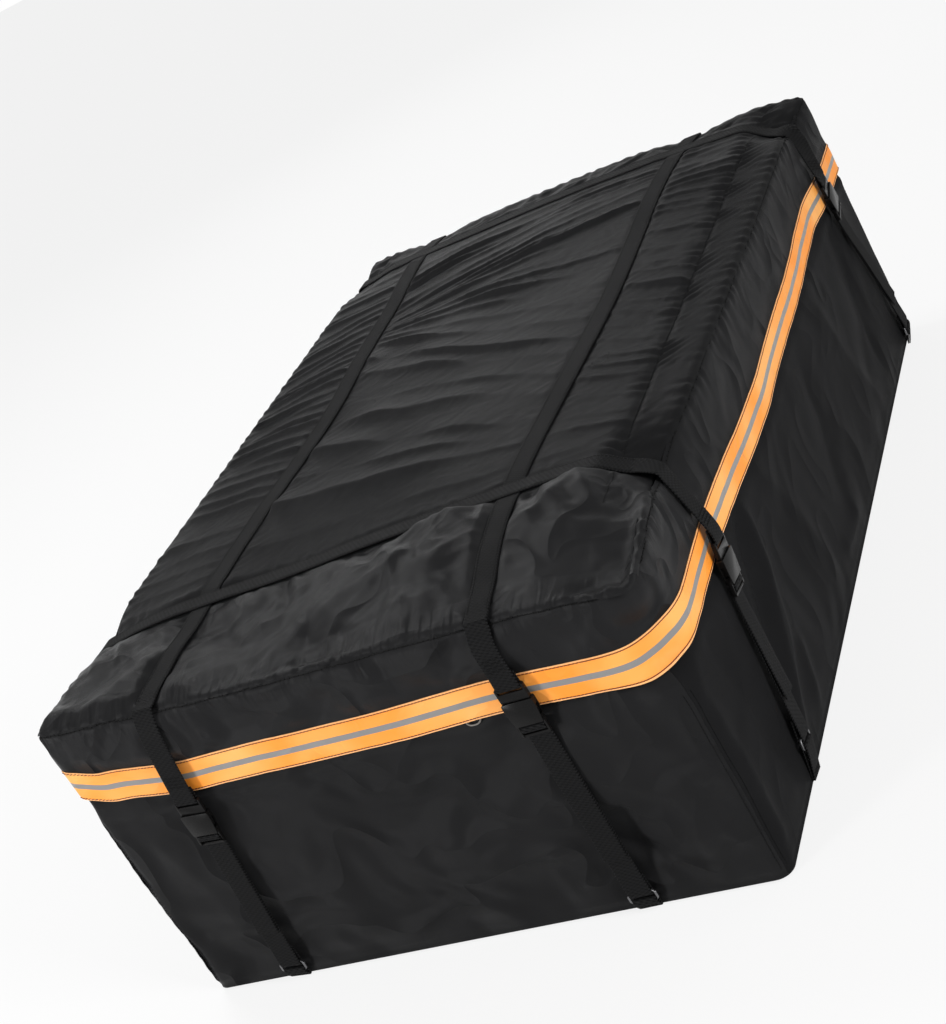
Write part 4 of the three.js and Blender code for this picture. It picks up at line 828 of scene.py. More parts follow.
# The four walls
wallLook = {
    "thick": 1.5,
    "step": 6.0,
    "rows": 56,
    "welt": 1.2,
    # long soft folds: place round the edge and height of each bend, then height and half width
    "folds": [
        ([(1157, 300), (1133, 206), (1086, 137), (1026, 67), (1000, 20)], 8.0, 17),
        ([(1140, 303), (1089, 211), (1014, 96)], -7.0, 20),
        ([(1120, 110), (1111, 86), (1083, 4)], 4.0, 14),
        ([(1500, 60), (1490, 31), (1387, 42)], 4.0, 20),
        ([(905, 300), (930, 150), (950, 20)], -5.0, 24),
        ([(840, 240), (842, 150), (838, 12)], 4.0, 14),
        ([(1250, 270), (1300, 170), (1330, 40)], 4.0, 26),
        ([(1560, 250), (1530, 170), (1480, 70)], -4.0, 30),
        ([(1700, 280), (1740, 150), (1800, 30)], 4.0, 26),
        ([(1940, 300), (1900, 180), (1880, 40)], -4.5, 26),
        ([(688, 215), (740, 145), (749, 101), (728, 40)], 7.0, 14),
        ([(664, 150), (657, 91), (676, 60)], -6.0, 17),
        ([(770, 262), (781, 204), (776, 150)], 4.0, 12),
        ([(585, 225), (604, 165)], 5.0, 12),
        ([(420, 92), (515, 113), (587, 90)], 4.5, 15),
        ([(564, 50), (603, 58)], 4.0, 12),
        ([(735, 130), (758, 102), (786, 50)], 4.5, 12),
        ([(250, 60), (360, 120), (470, 150)], 4.0, 26),
        ([(300, 250), (400, 215), (520, 200)], -4.0, 26),
        ([(60, 260), (90, 150), (100, 50)], 3.0, 22),
        ([(2350, 250), (2420, 160), (2480, 70)], 4.0, 26),
        ([(2700, 240), (2660, 150), (2620, 50)], -4.0, 24),
        ([(3150, 260), (3200, 150), (3240, 50)], 4.0, 28),
        ([(3560, 250), (3520, 160), (3480, 60)], -4.0, 32),
        ([(3900, 260), (3940, 150), (3980, 50)], 4.0, 26),
    ],
}


def wallOff(q, z):
    foot = -bag["footInset"] * (1 - ramp(0, bag["footRise"], z))
    edge = np.minimum(300, tableAt(bag["flapFoot"], q))
    recess = -bag["zipRecess"] * recessShare(q) * ramp(edge - bag["recessBelow"], edge + bag["recessAbove"], z)
    free = ramp(4, 50, z) * (1 - ramp(262, 296, z))
    h = np.zeros_like(q)
    for line, rise, wide in wallLook["folds"]:
        if np.abs(q - np.mean([p[0] for p in line])).min() >= 260:
            continue
        away, share = fromLine(q, z, line)
        ends = np.clip(np.minimum(share, 1 - share) * 5 + 0.25, 0, 1)
        h += rise * ends * np.exp(-((away / wide) ** 1.5))
    front = ramp(860, 780, q)
    h *= 1 + 0.5 * front
    h += 2.4 * latticeNoise(q / 170, z / 120, 101) + facets(q, z, 116, 1.0, 102) * (1.4 + 6.0 * front)
    h += facets(q, z, 50, 1.0, 103) * (0.5 + 2.2 * front)
    h = np.minimum(h, 7) - 2.5 * front
    return foot + recess + h * free


def buildWalls(look):
    for side, name in enumerate(("front", "right", "rear", "left")):
        low = bag["sideStarts"][side] + 0.2
        high = bag["sideStarts"][side] + sideLengths[side] - 0.2
        even = np.linspace(low + 5, high - 5, round((high - low) / look["step"]))
        qs = np.concatenate([[low, low + 1.2, low + 2.6], even, [high - 2.6, high - 1.2, high]])
        q, z = np.meshgrid(qs, np.concatenate([[0.5, 2, 4], np.linspace(8, bag["wallTop"], look["rows"])]))
        fromEnd = np.minimum(q - low, high - q)
        off = wallOff(q, z)
        uneven = 0.8 + 0.25 * latticeNoise(z / 40, q * 0, 110 + side)
        welt = look["welt"] * np.exp(-fromEnd / 1.8) * ramp(0, 12, z) * uneven
        wave = 2 * math.pi * z / 19 + 2 * latticeNoise(z / 50, q * 0, 115 + side)
        pucker = 0.3 * np.exp(-fromEnd / 14) * np.cos(wave)
        off = off + (welt + pucker) * (1 - ramp(270, 300, z))
        off = off - 1.2 * np.exp(-(((z - 6) / 3) ** 2)) + 0.6 * np.exp(-(((z - 12) / 6) ** 2))
        points, _ = placeAt(q, z, off)
        # Each wall takes a copy of the cloth toned by its side: painted light on the front, painted shade on the
        # right, rear and left
        made = cloth[{"front": "wall", "right": "side"}.get(name, "far")]
        piece = sheetPiece("wall" + name.capitalize(), points, look["thick"], made, np.stack([q, z], -1))
        onBag(piece, "shell_fabric", "wall_" + name)


buildWalls(wallLook)


# The base panel
base = {"thick": 2.0, "inset": 10.3, "cornerRound": 12}


def buildBase(look):
    halfX, halfY = halfWide - look["inset"], halfLong - look["inset"]
    u, v = np.meshgrid(np.linspace(-1, 1, 60), np.linspace(-1, 1, 90))
    x, y = u * halfX, v * halfY
    z = 0.25 + 0.5 * (1 + latticeNoise(x / 90, y / 90, 120)) * ramp(1, 0.93, np.maximum(np.abs(u), np.abs(v)))
    x, y = roundCorners(x, y, halfX, halfY, [look["cornerRound"]] * 4)
    piece = sheetPiece("basePanel", np.stack([x, y, z], -1), -look["thick"], cloth["base"], flip=True)
    onBag(piece, "shell_fabric", "base_panel")


buildBase(base)
print("stage: walls and base made")

# Rain flap, orange band and lid border
skirt = {
    "thick": 1.4, "stand": 0.8, "bandStand": 0.5, "bandThick": 0.8, "bandRows": 11,
    "stations": 584, "rows": 26, "borderStations": 528, "borderRows": 16,
    "seamDrop": 3.6,  # the flap's top edge below the seam, where it turns in by seamTuck
    "seamTuck": 4.6,
}


def flapTurn(part):
    return skirt["seamTuck"] * ramp(0.955, 1.0, part)


def bandPlace(q, part):
    foot = tableAt(bag["flapFoot"], q) - 0.6
    return foot + (bag["bandHeight"] + 0.6) * part


def flapOff(q, z):
    foot = tableAt(bag["flapFoot"], q)
    top = seamZ(q)
    share = np.clip((z - foot) / (top - foot), 0, 1)
    free = ramp(0.30, 0.56, share) * ramp(1.0, 0.88, share)
    onBand = ramp(0.5, 0.2, share)
    front = ramp(830, 700, q)
    h = facets(q, z * 1.15, 86, 1.0, 131) * (5.6 * front + 2.0) + facets(q, z, 40, 1.0, 132) * (3.6 * front + 1.0)
    h += 1.4 * latticeNoise(q / 130, z / 90, 133) + 0.6 * facets(q, z, 21, 1.0, 138)
    h = np.clip(h + 1.5 * front, -5.2, 8.5)
    low = 1.3 * latticeNoise(q / 75, z / 200, 134) + 0.35 * latticeNoise(q / 24, z / 80, 135)
    toTop = top - z
    edge = np.exp(-toTop / 13) * ramp(0, 3, toTop)
    pucker = 2.0 * edge * beat(q, 22, 136, 0) * patchy(q, 48, 137)
    ends = ramp(0, 18, np.minimum(q - 3, 2917 - q))
    return skirt["stand"] + (h * free + low * onBand) * (0.3 + 0.7 * ends) + pucker


def buildSkirt(look):
    parts = np.concatenate([np.linspace(0, 0.95, look["rows"]), [0.975, 0.99, 1.0]])
    q, part = np.meshgrid(np.linspace(3, 2917, look["stations"]), parts)
    foot = tableAt(bag["flapFoot"], q)
    z = foot + (seamZ(q) - look["seamDrop"] - foot) * part
    points, _ = placeAt(q, z, flapOff(q, z) - flapTurn(part))
    flap = sheetPiece("rainFlap", points, look["thick"], cloth["flap"], np.stack([q, z], -1))
    # Beyond the front the flap shows a darker copy of its cloth: painted shade
    paintedLightCopy(flap, cloth["flapSide"], lambda spot: spot.y > -0.43)
    onBag(flap, "lid_fabric", "rain_flap")

    q, part = np.meshgrid(np.linspace(3.2, 2916.8, look["stations"]), np.linspace(0, 1, look["bandRows"]))
    z = bandPlace(q, part)
    crown = 0.25 * (1 - (2 * part - 1) ** 8)
    points, _ = placeAt(q, z, flapOff(q, z) + look["bandStand"] + crown + look["bandThick"] * 0.6)
    band = sheetPiece("reflectiveBand", points, look["bandThick"], bandCloth, np.stack([q, z], -1))
    share = band.data.attributes.new("across", "FLOAT", "POINT")
    share.data.foreach_set("value", np.tile(part.ravel().astype(np.float32), 2))
    onBag(band, "band_orange", "reflective_band")

    qs = np.linspace(leftStart - around + 0.2, leftStart - 0.2, look["borderStations"])
    q, part = np.meshgrid(qs, np.linspace(0, 1, look["borderRows"]))
    low = np.where((q < 0) | (q > leftStart), bag["wallTop"] + 0.4, 350)
    z = low + (seamZ(q) - 3.8 - low) * part
    loose = ramp(2, -12, q) * ramp(0, 0.25, part) * ramp(1, 0.8, part)
    off = -bag["zipRecess"] * recessShare(q) + loose * (crumple(q, z, 70, 2.6, 141) + crumple(q, z, 32, 1.0, 142))
    points, _ = placeAt(q, z, off)
    # The lid border shows the darker copy of the flap cloth: painted shade
    border = sheetPiece("lidBorder", points, look["thick"], cloth["flapSide"], np.stack([q + 1300, z], -1))
    onBag(border, "lid_fabric", "lid_border")


buildSkirt(skirt)
print("stage: flap, band and border made")

# Webbing
web = {
    "wide": 30.0, "thick": 1.6, "lift": 0.9, "step": 4.0,
    "ribPitch": 2.4, "ribHigh": 0.42, "ribRadius": 0.95, "stitchPitch": 4.4, "tackWide": 22.0,
}


def smoothPath(points, step):
    points = np.asarray(points, float)
    gaps = np.sqrt(np.linalg.norm(np.diff(points, axis=0), axis=1))
    knots = np.concatenate([[0], np.cumsum(gaps)])
    ends = np.concatenate([[2 * points[0] - points[1]], points, [2 * points[-1] - points[-2]]])
    knotsFull = np.concatenate([[knots[0] - gaps[0]], knots, [knots[-1] + gaps[-1]]])
    result = []
    for k in range(len(points) - 1):
        p0, p1, p2, p3 = ends[k:k + 4]
        t0, t1, t2, t3 = knotsFull[k:k + 4]
        length = np.linalg.norm(p2 - p1)
        count = max(3 if length < 3 * step else 1, min(60, round(length / step)))
        for t in np.linspace(t1, t2, count, endpoint=False):
            a1 = (t1 - t) / (t1 - t0) * p0 + (t - t0) / (t1 - t0) * p1
            a2 = (t2 - t) / (t2 - t1) * p1 + (t - t1) / (t2 - t1) * p2
            a3 = (t3 - t) / (t3 - t2) * p2 + (t - t2) / (t3 - t2) * p3
            b1 = (t2 - t) / (t2 - t0) * a1 + (t - t0) / (t2 - t0) * a2
            b2 = (t3 - t) / (t3 - t1) * a2 + (t - t1) / (t3 - t1) * a3
            result.append((t2 - t) / (t2 - t1) * b1 + (t - t1) / (t2 - t1) * b2)
    result.append(points[-1])
    return np.array(result)


# The frames of a strap along smooth stations: place, along, across and out
def strapFrames(stations, step):
    both = smoothPath([tuple(p) + tuple(w) for p, w in stations], step)
    spots, across = both[:, :3], both[:, 3:]
    along = np.gradient(spots, axis=0)
    along /= np.maximum(np.linalg.norm(along, axis=1, keepdims=True), 1e-9)
    across = across - (across * along).sum(1, keepdims=True) * along
    across /= np.maximum(np.linalg.norm(across, axis=1, keepdims=True), 1e-9)
    return spots, along, across, np.cross(across, along)


def strapMesh(name, strap):
    spots, _, across, out = strap
    half, t = web["wide"] / 2, web["thick"] / 2
    profile = [
        (-half, -t * 0.5), (-half + 0.5, -t), (-half / 2, -t), (0, -t), (half / 2, -t), (half - 0.5, -t),
        (half, -t * 0.5), (half, t * 0.5), (half - 0.5, t), (half / 2, t), (0, t), (-half / 2, t),
        (-half + 0.5, t), (-half, t * 0.5),
    ]
    points = np.concatenate([[p + a * s + o * d for s, d in profile] for p, a, o in zip(spots, across, out)])
    uvs = np.array([(u, s) for u in runAlong(spots) for s, _ in profile])
    return facedOut(linkMesh(name, points, tubeFaces(len(spots), len(profile)), uvs, webCloth, sharp=70))


# Thread, ribs and teeth: one short rod is set at each point, turned by the point's own turn
def makeRodTree():
    inputs = [
        ("Geometry", "Geometry", None), ("Length", "Float", 0.004), ("Radius", "Float", 0.0004),
        ("Flatness", "Float", 1.0), ("Sides", "Int", 6), ("Finish", "Material", None),
    ]
    tree, ins, outs = groupOf("rodRun", "GeometryNodeTree", inputs, [("Geometry", "Geometry")])
    sizes = {"Depth": ins["Length"], "Radius": ins["Radius"], "Vertices": ins["Sides"]}
    rod = addNode(tree, "GeometryNodeMeshCylinder", sizes).outputs["Mesh"]
    flat = addNode(tree, "ShaderNodeCombineXYZ", {0: ins["Flatness"], 1: 1, 2: 1}).outputs[0]
    shape = addNode(tree, "GeometryNodeTransform", {"Geometry": rod, "Scale": flat}).outputs["Geometry"]
    turn = addNode(tree, "GeometryNodeInputNamedAttribute", {"Name": "turn"}, data_type="FLOAT_VECTOR")
    places = {"Points": ins["Geometry"], "Instance": shape, "Rotation": turn.outputs["Attribute"]}
    rods = addNode(tree, "GeometryNodeInstanceOnPoints", places).outputs["Instances"]
    real = addNode(tree, "GeometryNodeRealizeInstances", {"Geometry": rods}).outputs["Geometry"]
    done = addNode(tree, "GeometryNodeSetMaterial", {"Geometry": real, "Material": ins["Finish"]})
    tree.links.new(done.outputs["Geometry"], outs["Geometry"])
    return tree


rodTree = makeRodTree()


# Rods at points; each lies along "lie" and turns its flat side to "face"
def rodRun(name, points, lie, face, length, radius, material, flatness=1.0, sides=6):
    lie, face = np.asarray(lie, float), np.asarray(face, float)
    lie = lie / np.linalg.norm(lie, axis=1, keepdims=True)
    face = face - (face * lie).sum(1, keepdims=True) * lie
    face = face / np.linalg.norm(face, axis=1, keepdims=True)
    mesh = bpy.data.meshes.new(name)
    mesh.from_pydata((np.asarray(points, float) * mm).tolist(), [], [])
    turns = mesh.attributes.new("turn", "FLOAT_VECTOR", "POINT")
    values = []
    for z, x in zip(lie, face):
        values.extend(Matrix((x, np.cross(z, x), z)).transposed().to_euler("XYZ"))
    turns.data.foreach_set("vector", np.array(values, np.float32))
    piece = linked(name, mesh)
    modifier = piece.modifiers.new("rods", "NODES")
    modifier.node_group = rodTree
    sizes = {"Length": length * mm, "Radius": radius * mm, "Flatness": flatness, "Sides": sides, "Finish": material}
    for item in rodTree.interface.items_tree:
        if item.in_out == "INPUT" and item.name in sizes:
            modifier[item.identifier] = sizes[item.name]
    applied(piece, 50)
    return piece


def joined(main, *others):
    for other in others:
        with bpy.context.temp_override(active_object=main, selected_editable_objects=[main, other], object=main):
            bpy.ops.object.join()
    return main


# Places and directions at given runs along a strap
def strapAt(strap, at):
    run = runAlong(strap[0])
    return [np.stack([np.interp(at, run, values[:, k]) for k in range(3)], -1) for values in strap]


# Ribs across the outer face of a strap, every ribPitch, and the same on its back where it shows
def ribsOf(strap, back=False):
    at = np.arange(1, runAlong(strap[0])[-1] - 1, web["ribPitch"])
    p, _, a, o = strapAt(strap, at)
    sides = (1, -1) if back else (1,)
    centres = np.concatenate([p + o * side * (web["thick"] / 2 - 0.05) for side in sides])
    lie = np.concatenate([a] * len(sides))
    face = np.concatenate([o * side for side in sides])
    radius = web["ribRadius"]
    return rodRun("ribs", centres, lie, face, web["wide"] - 2.4, radius, webCloth, flatness=web["ribHigh"] / radius)


# Two rows of stitches along a strap, near its edges
def edgeStitches(strap, inset):
    pitch = web["stitchPitch"]
    p, l, a, o = strapAt(strap, np.arange(2, runAlong(strap[0])[-1] - 2, pitch))
    away, high = web["wide"] / 2 - inset, web["thick"] / 2 + 0.28
    centres = np.concatenate([p + a * s * away + o * high for s in (-1, 1)])
    lie, face = np.concatenate([l, l]), np.concatenate([o, o])
    return rodRun("stitches", centres, lie, face, pitch * 0.72, 0.32, finish["blackThread"])


# A sewn block: zigzag rows across the strap, between two places along it
def barTack(strap, start, end, rows):
    wide = web["tackWide"]
    centres, lies, faces = [], [], []
    for row in np.linspace(start, end, rows):
        p, l, a, o = strapAt(strap, row)
        for s in np.arange(-wide / 2, wide / 2, 2.2):
            centres.append(p + a * (s + 1.1) + o * (web["thick"] / 2 + 0.3))
            lies.append(a + l * (0.9 if round((s + wide) / 2.2) % 2 else -0.9))
            faces.append(o)
    return rodRun("tack", centres, lies, faces, 2.9, 0.34, finish["blackThread"])


# name, side, mouth of the socket and foot ring, each with its place along the side and its height
hangs = [
    ("front_left", 0, (-249, 279), (-266, 21)), ("front_right", 0, (223, 318), (229, 21)),
    ("right_front", 1, (-441, 298), (-470, 50)), ("right_rear", 1, (500, 320), (598, 27)),
    ("rear_right", 2, (217, 305), (217, 30)), ("rear_left", 2, (-266, 298), (-266, 30)),
    ("left_rear", 3, (556, 300), (556, 36)), ("left_front", 3, (-466, 296), (-466, 36)),
]
buckle = {
    "stand": 11.5, "ringStand": 6.2, "housing": 32, "slot": 5.2, "bar": 3, "plugRise": 21, "plugBar": 3.6,
    "ringTall": 10, "ringWire": 3, "tabLow": 2, "gap": 0.4, "barThick": 3, "blendTop": 404,
}
layer = buckle["barThick"] / 2 + buckle["gap"] + web["thick"] / 2
layerStep = web["thick"] + buckle["gap"]


class Hang:
    def __init__(self, name, side, mouth, ring):
        self.name, self.side, self.mouthAt, self.ringAt = name, side, mouth, ring
        self.mouth = self.onSide(mouth[0], mouth[1], buckle["stand"])
        self.ring = self.onSide(ring[0], ring[1], buckle["ringStand"])
        up = self.mouth - self.ring
        self.reach = float(np.linalg.norm(up))
        self.up = up / self.reach
        out = np.array([*normals[side], 0.0])
        out -= out.dot(self.up) * self.up
        self.out = out / np.linalg.norm(out)
        self.across = np.cross(self.up, self.out)

    def onSide(self, along, z, off):
        nx, ny = normals[self.side]
        if self.side % 2 == 0:
            return np.array([along + nx * off, ny * halfLong + ny * off, z], float)
        return np.array([nx * halfWide + nx * off, along + ny * off, z], float)

    def spot(self, b, c):
        return self.mouth + self.up * b + self.out * c

    def onWall(self, t, off):
        along = self.mouthAt[0] + (self.ringAt[0] - self.mouthAt[0]) * t
        z = self.mouthAt[1] + (self.ringAt[1] - self.mouthAt[1]) * t
        return self.onSide(along, z, off)

    def place(self):
        half = (halfWide, halfLong)[self.side % 2]
        return bag["sideStarts"][self.side] + half + (1, 1, -1, -1)[self.side] * self.ringAt[0]


hangFrames = {name: Hang(name, side, mouth, ring) for name, side, mouth, ring in hangs}


def lowerStations(hang):
    midTop = -buckle["housing"] - buckle["slot"]
    lowSlot = midTop - buckle["bar"]
    lowTop = lowSlot - buckle["slot"]
    ringTop = -hang.reach + buckle["ringTall"] / 2
    loadStart, loadEnd = lowTop - 5, ringTop + 6.5
    slope = (layer + layer + layerStep) / (loadStart - loadEnd)
    loadAt = lambda b: -layer - layerStep + (loadStart - b) * slope
    tail = -hang.reach + 62
    middle = (tail + loadStart) / 2
    path = [
        (tail, loadAt(tail) + layerStep + 2.6), (tail + 30, loadAt(tail + 30) + layerStep + 1.4),
        (middle, loadAt(middle) + layerStep + 0.7), (lowTop + 0.4, -layer), (lowTop + 2.2, -1.3),
        (lowSlot - 1.5, 1.5), (lowSlot - 0.2, layer), (midTop + 0.2, layer), (midTop + 1.6, 1.5),
        (midTop + 2.2, -1.6), (midTop + 0.9, -layer - layerStep + 0.6), (midTop - 1.2, -layer - layerStep),
        (loadStart, -layer - layerStep), (loadEnd, layer), (ringTop + 0.4, layer), (ringTop - 1.5, 2.1),
        (ringTop - 2, 0), (ringTop - 1.5, -2.1), (ringTop + 0.4, -layer), (ringTop + 5, -layer), (ringTop + 28, -1.2),
    ]
    return [(hang.spot(b, c), hang.across) for b, c in path]


def tabStations(hang):
    footT = (hang.mouthAt[1] - buckle["tabLow"]) / (hang.mouthAt[1] - hang.ringAt[1])
    q = hang.place() + np.array([-16, -8, 0, 8, 16.0])[:, None]
    z = np.maximum(0, buckle["tabLow"] + np.array([-5, 0, 5.0]))[None, :]
    skin = float(wallOff(q + 0 * z, z + 0 * q).max()) + 1.1 + web["thick"] / 2
    bar = -hang.reach - buckle["ringTall"] / 2
    wire = buckle["ringWire"]
    turn = [
        (bar - wire - 0.6, layer), (bar - 0.2, layer), (bar + 1.5, 2.1), (bar + 2, 0),
        (bar + 1.5, -2.1), (bar - 0.2, -layer), (bar - wire - 0.6, -layer),
    ]
    path = [hang.onWall(footT, skin + layerStep), *(hang.spot(b, c) for b, c in turn), hang.onWall(footT, skin)]
    return [(p, hang.across) for p in path]


def buildLowerStraps():
    for hang in hangFrames.values():
        lower = strapFrames(lowerStations(hang), web["step"])
        piece = strapMesh("lowerStrap_" + hang.name, lower)
        length = runAlong(lower[0])[-1]
        extras = ribsOf(lower, back=True), barTack(lower, length - 24, length - 10, 4)
        onBag(joined(piece, *extras), "webbing", "lower_strap_" + hang.name)
        tab = strapFrames(tabStations(hang), 2.5)
        piece = strapMesh("anchorTab_" + hang.name, tab)
        onBag(joined(piece, ribsOf(tab), barTack(tab, 3, 9, 3)), "webbing", "anchor_tab_" + hang.name)


buildLowerStraps()
print("stage: lower straps and tabs made")


# The end of an over-strap, folded round its plug's bar
def hangingEnd(hang):
    rise = buckle["plugRise"]
    foot = rise - buckle["plugBar"]
    path = [
        (37, -2.2), (25, -layer), (foot + 0.6, -layer), (foot - 1.3, -1.9), (foot - 2, 0),
        (foot - 1.3, 1.9), (foot + 0.6, layer), (rise + 1.5, layer), (rise + 9, layer - 0.6),
    ]
    return [(hang.spot(b, c), hang.across) for b, c in path]


def edgeStations(side, along, q, across, lean):
    nx, ny = normals[side]
    top = float(seamZ(np.array(q, float)))
    turn = 1 if side == 1 else -1
    result = []
    for extra, z, shift in ((3.2, top - 24, lean), (1.9, top - 7, lean * 0.3), (0.3, top + 0.6, 0)):
        place = q + shift * turn
        spots = place + np.array([-15, -8, 0, 8, 15.0])
        share = min(1, max(0, (z - bag["pullFoot"]) / (bag["pullTop"] - bag["pullFoot"])))
        stand = 1.2 if side == 3 else flapOff(spots, np.full(5, min(z, top - 5)))
        off = float((stand - pullAt(spots) * share).max()) + extra + web["thick"] / 2
        if side % 2 == 0:
            spot = np.array([along + shift, ny * (halfLong + off), z])
        else:
            spot = np.array([nx * (halfWide + off), along + shift, z])
        result.append((spot, np.array(across, float)))
    return result


def onLid(x, y, dx, dy):
    heights = [lidHeightAt(x + dx * s, y + dy * s) for s in (-14.5, -10, -5, 0, 5, 10, 14.5)]
    return max(h for h in heights if h is not None) + web["lift"] + web["thick"] / 2


def evened(values, keep):
    values = np.array(values)
    wide = np.pad(values, 2, mode="edge")
    even = (wide[:-4] + 2 * wide[1:-3] + 3 * wide[2:-2] + 2 * wide[3:-1] + wide[4:]) / 9
    return np.maximum(even, values - keep)


def negated(stations):
    return [(p, -np.asarray(w)) for p, w in reversed(stations)]


overStraps = {
    "left": {"ends": ("front_left", "rear_left"), "line": lid["leftStrap"]},
    "right": {"ends": ("front_right", "rear_right"), "line": lid["rightStrap"]},
    "front": {"ends": ("left_front", "right_front"), "at": frontStrapAt, "right": -424, "lean": -8},
    "rear": {"ends": ("left_rear", "right_rear"), "at": rearStrapAt, "right": 545, "lean": -26},
}
longHeights = {}


def longStations(look, key):
    ys = np.linspace(-641, 641, 160)
    xs = tableAt(look["line"], ys)
    zs = evened([onLid(x, y, 1, 0) for x, y in zip(xs, ys)], 0.5)
    longHeights[key] = (ys, zs)
    wide = np.array([1.0, 0, 0])
    front, rear = (hangFrames[name] for name in look["ends"])
    frontX, rearX = (float(tableAt(look["line"], y)) for y in (-halfLong, halfLong))
    first = hangingEnd(front) + edgeStations(0, frontX, frontX + halfWide, wide, 0)
    middle = [(np.array([x, y, z]), wide) for x, y, z in zip(xs, ys, zs)]
    last = edgeStations(2, rearX, rearStart + halfWide - rearX, wide, 0)[::-1] + negated(hangingEnd(rear))
    return first, middle, last


def crossStations(look):
    xs = np.linspace(-388, 368, 96)
    ys = np.array([float(look["at"](x)) for x in xs])
    zs = evened([onLid(x, y, 0, 1) for x, y in zip(xs, ys)], 0.5)
    for key in ("left", "right"):
        middleX = tableAt(overStraps[key]["line"], ys)
        longYs, longZs = longHeights[key]
        over = np.interp(ys, longYs, longZs) + layerStep + 0.5
        near = ramp(30, 17, np.abs(xs - middleX))
        zs = np.maximum(zs, zs + (over - zs) * near)
    wide = np.array([0, -1.0, 0])
    left, right = (hangFrames[name] for name in look["ends"])
    leftY = float(look["at"](-halfWide))
    first = hangingEnd(left) + edgeStations(3, leftY, leftStart + halfLong - leftY, left.across, 0)
    middle = [(np.array([x, y, z]), wide) for x, y, z in zip(xs, ys, zs)]
    rightQ = rightStart + look["right"] + halfLong
    overEdge = edgeStations(1, look["right"], rightQ, -right.across, look["lean"])
    return first, middle, overEdge[::-1] + negated(hangingEnd(right))


def cut(strap, low, high):
    return tuple(part[low:high + 1] for part in strap)


def buildOverStraps():
    for key, look in overStraps.items():
        first, middle, last = longStations(look, key) if "line" in look else crossStations(look)
        whole = strapFrames(first + middle + last, web["step"])
        low, high = (int(np.argmin(np.linalg.norm(whole[0] - middle[k][0], axis=1))) for k in (1, -2))
        node = "over_strap_" + key
        centre = cut(whole, low, high)
        piece = strapMesh("overStrap_" + key, centre)
        onBag(joined(piece, ribsOf(centre), edgeStitches(centre, 3.2)), "webbing", node)
        parts = cut(whole, 0, low), cut(whole, high, len(whole[0]) - 1)
        for name, part, back in zip(look["ends"], parts, (False, True)):
            end = strapMesh("strapEnd_" + name, part)
            tackAt = runAlong(part[0])[-1] - 66 if back else 52
            end = joined(end, ribsOf(part, back=True), barTack(part, tackAt, tackAt + 14, 4))
            hang = hangFrames[name]
            start = hang.onWall(0, buckle["stand"])
            start[2] = buckle["blendTop"]
            stop = hang.spot(buckle["plugRise"] + 16, 0)
            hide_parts(node)
            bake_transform(end)


buildOverStraps()
print("stage: over-straps made")


# Buckles, rings and sliders are the CAD shapes with their edges rounded
hardware = {"buckleRound": 0.55, "ringRound": 1.15, "sliderRound": 0.35}


def rounded(node, name, width, segments, material, slotName, body="bag"):
    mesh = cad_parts[node].data.copy()
    mesh.name = name
    shape = bmesh.new()
    shape.from_mesh(mesh)
    bmesh.ops.remove_doubles(shape, verts=shape.verts, dist=0.00002)
    bmesh.ops.dissolve_limit(shape, angle_limit=math.radians(1.5), verts=shape.verts, edges=shape.edges)
    shape.to_mesh(mesh)
    shape.free()
    mesh.materials.clear()
    mesh.materials.append(material)
    piece = linked(name, mesh)
    bevel = piece.modifiers.new("edges", "BEVEL")
    bevel.width = width * mm
    bevel.segments = segments
    bevel.limit_method = "ANGLE"
    bevel.angle_limit = math.radians(28)
    bevel.use_clamp_overlap = True
    applied(piece, 40)
    return onBag(piece, slotName, node, body=body)


def buildHardware(look):
    edge, plastic = look["buckleRound"], finish["plastic"]
    for name in hangFrames:
        socket, plug, ring = (kind + "_" + name for kind in ("socket", "plug", "ring"))
        rounded(socket, socket + "_moulded", edge, 2, plastic, "buckle_plastic")
        rounded(plug, plug + "_moulded", edge * 0.7, 2, plastic, "buckle_plastic", body=plug + "_body")
        rounded(ring, ring + "_wire", look["ringRound"], 4, finish["ring"], "ring_wire")
    for letter in ("a", "b"):
        node, piece, body = "zip_slider_" + letter, "zipSlider_" + letter, "slider_" + letter
        rounded(node, piece, look["sliderRound"], 2, finish["slider"], "slider_metal", body=body)


buildHardware(hardware)
print("stage: buckles, rings and sliders made")

# Zip coil and tapes
zipLook = {"line": 343.5, "gap": 0.8, "tall": 2.8, "pitch": 2.3, "radius": 0.62, "ends": (66, 2854), "front": 3.4}


def buildCoil(look):
    for name, side in (("zipCoilBody", -1), ("zipCoilLid", 1)):
        q = np.arange(look["ends"][0], look["ends"][1], look["pitch"]) + (0.5 * look["pitch"] if side > 0 else 0)
        z = np.full_like(q, look["line"] + side * (look["gap"] + look["tall"] / 2))
        points, outs = placeAt(q, z, -bag["zipRecess"] * recessShare(q) + look["front"])
        lie = np.tile([0, 0, 1.0], (len(q), 1))
        piece = rodRun(name, points, lie, outs, look["tall"], look["radius"], finish["coil"], sides=5)
        onBag(piece, "zip_tape")
    for node in ("zip_tape_body", "zip_tape_lid"):
        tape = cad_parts[node]
        tape.data.materials.clear()
        tape.data.materials.append(finish["zipTape"])


buildCoil(zipLook)


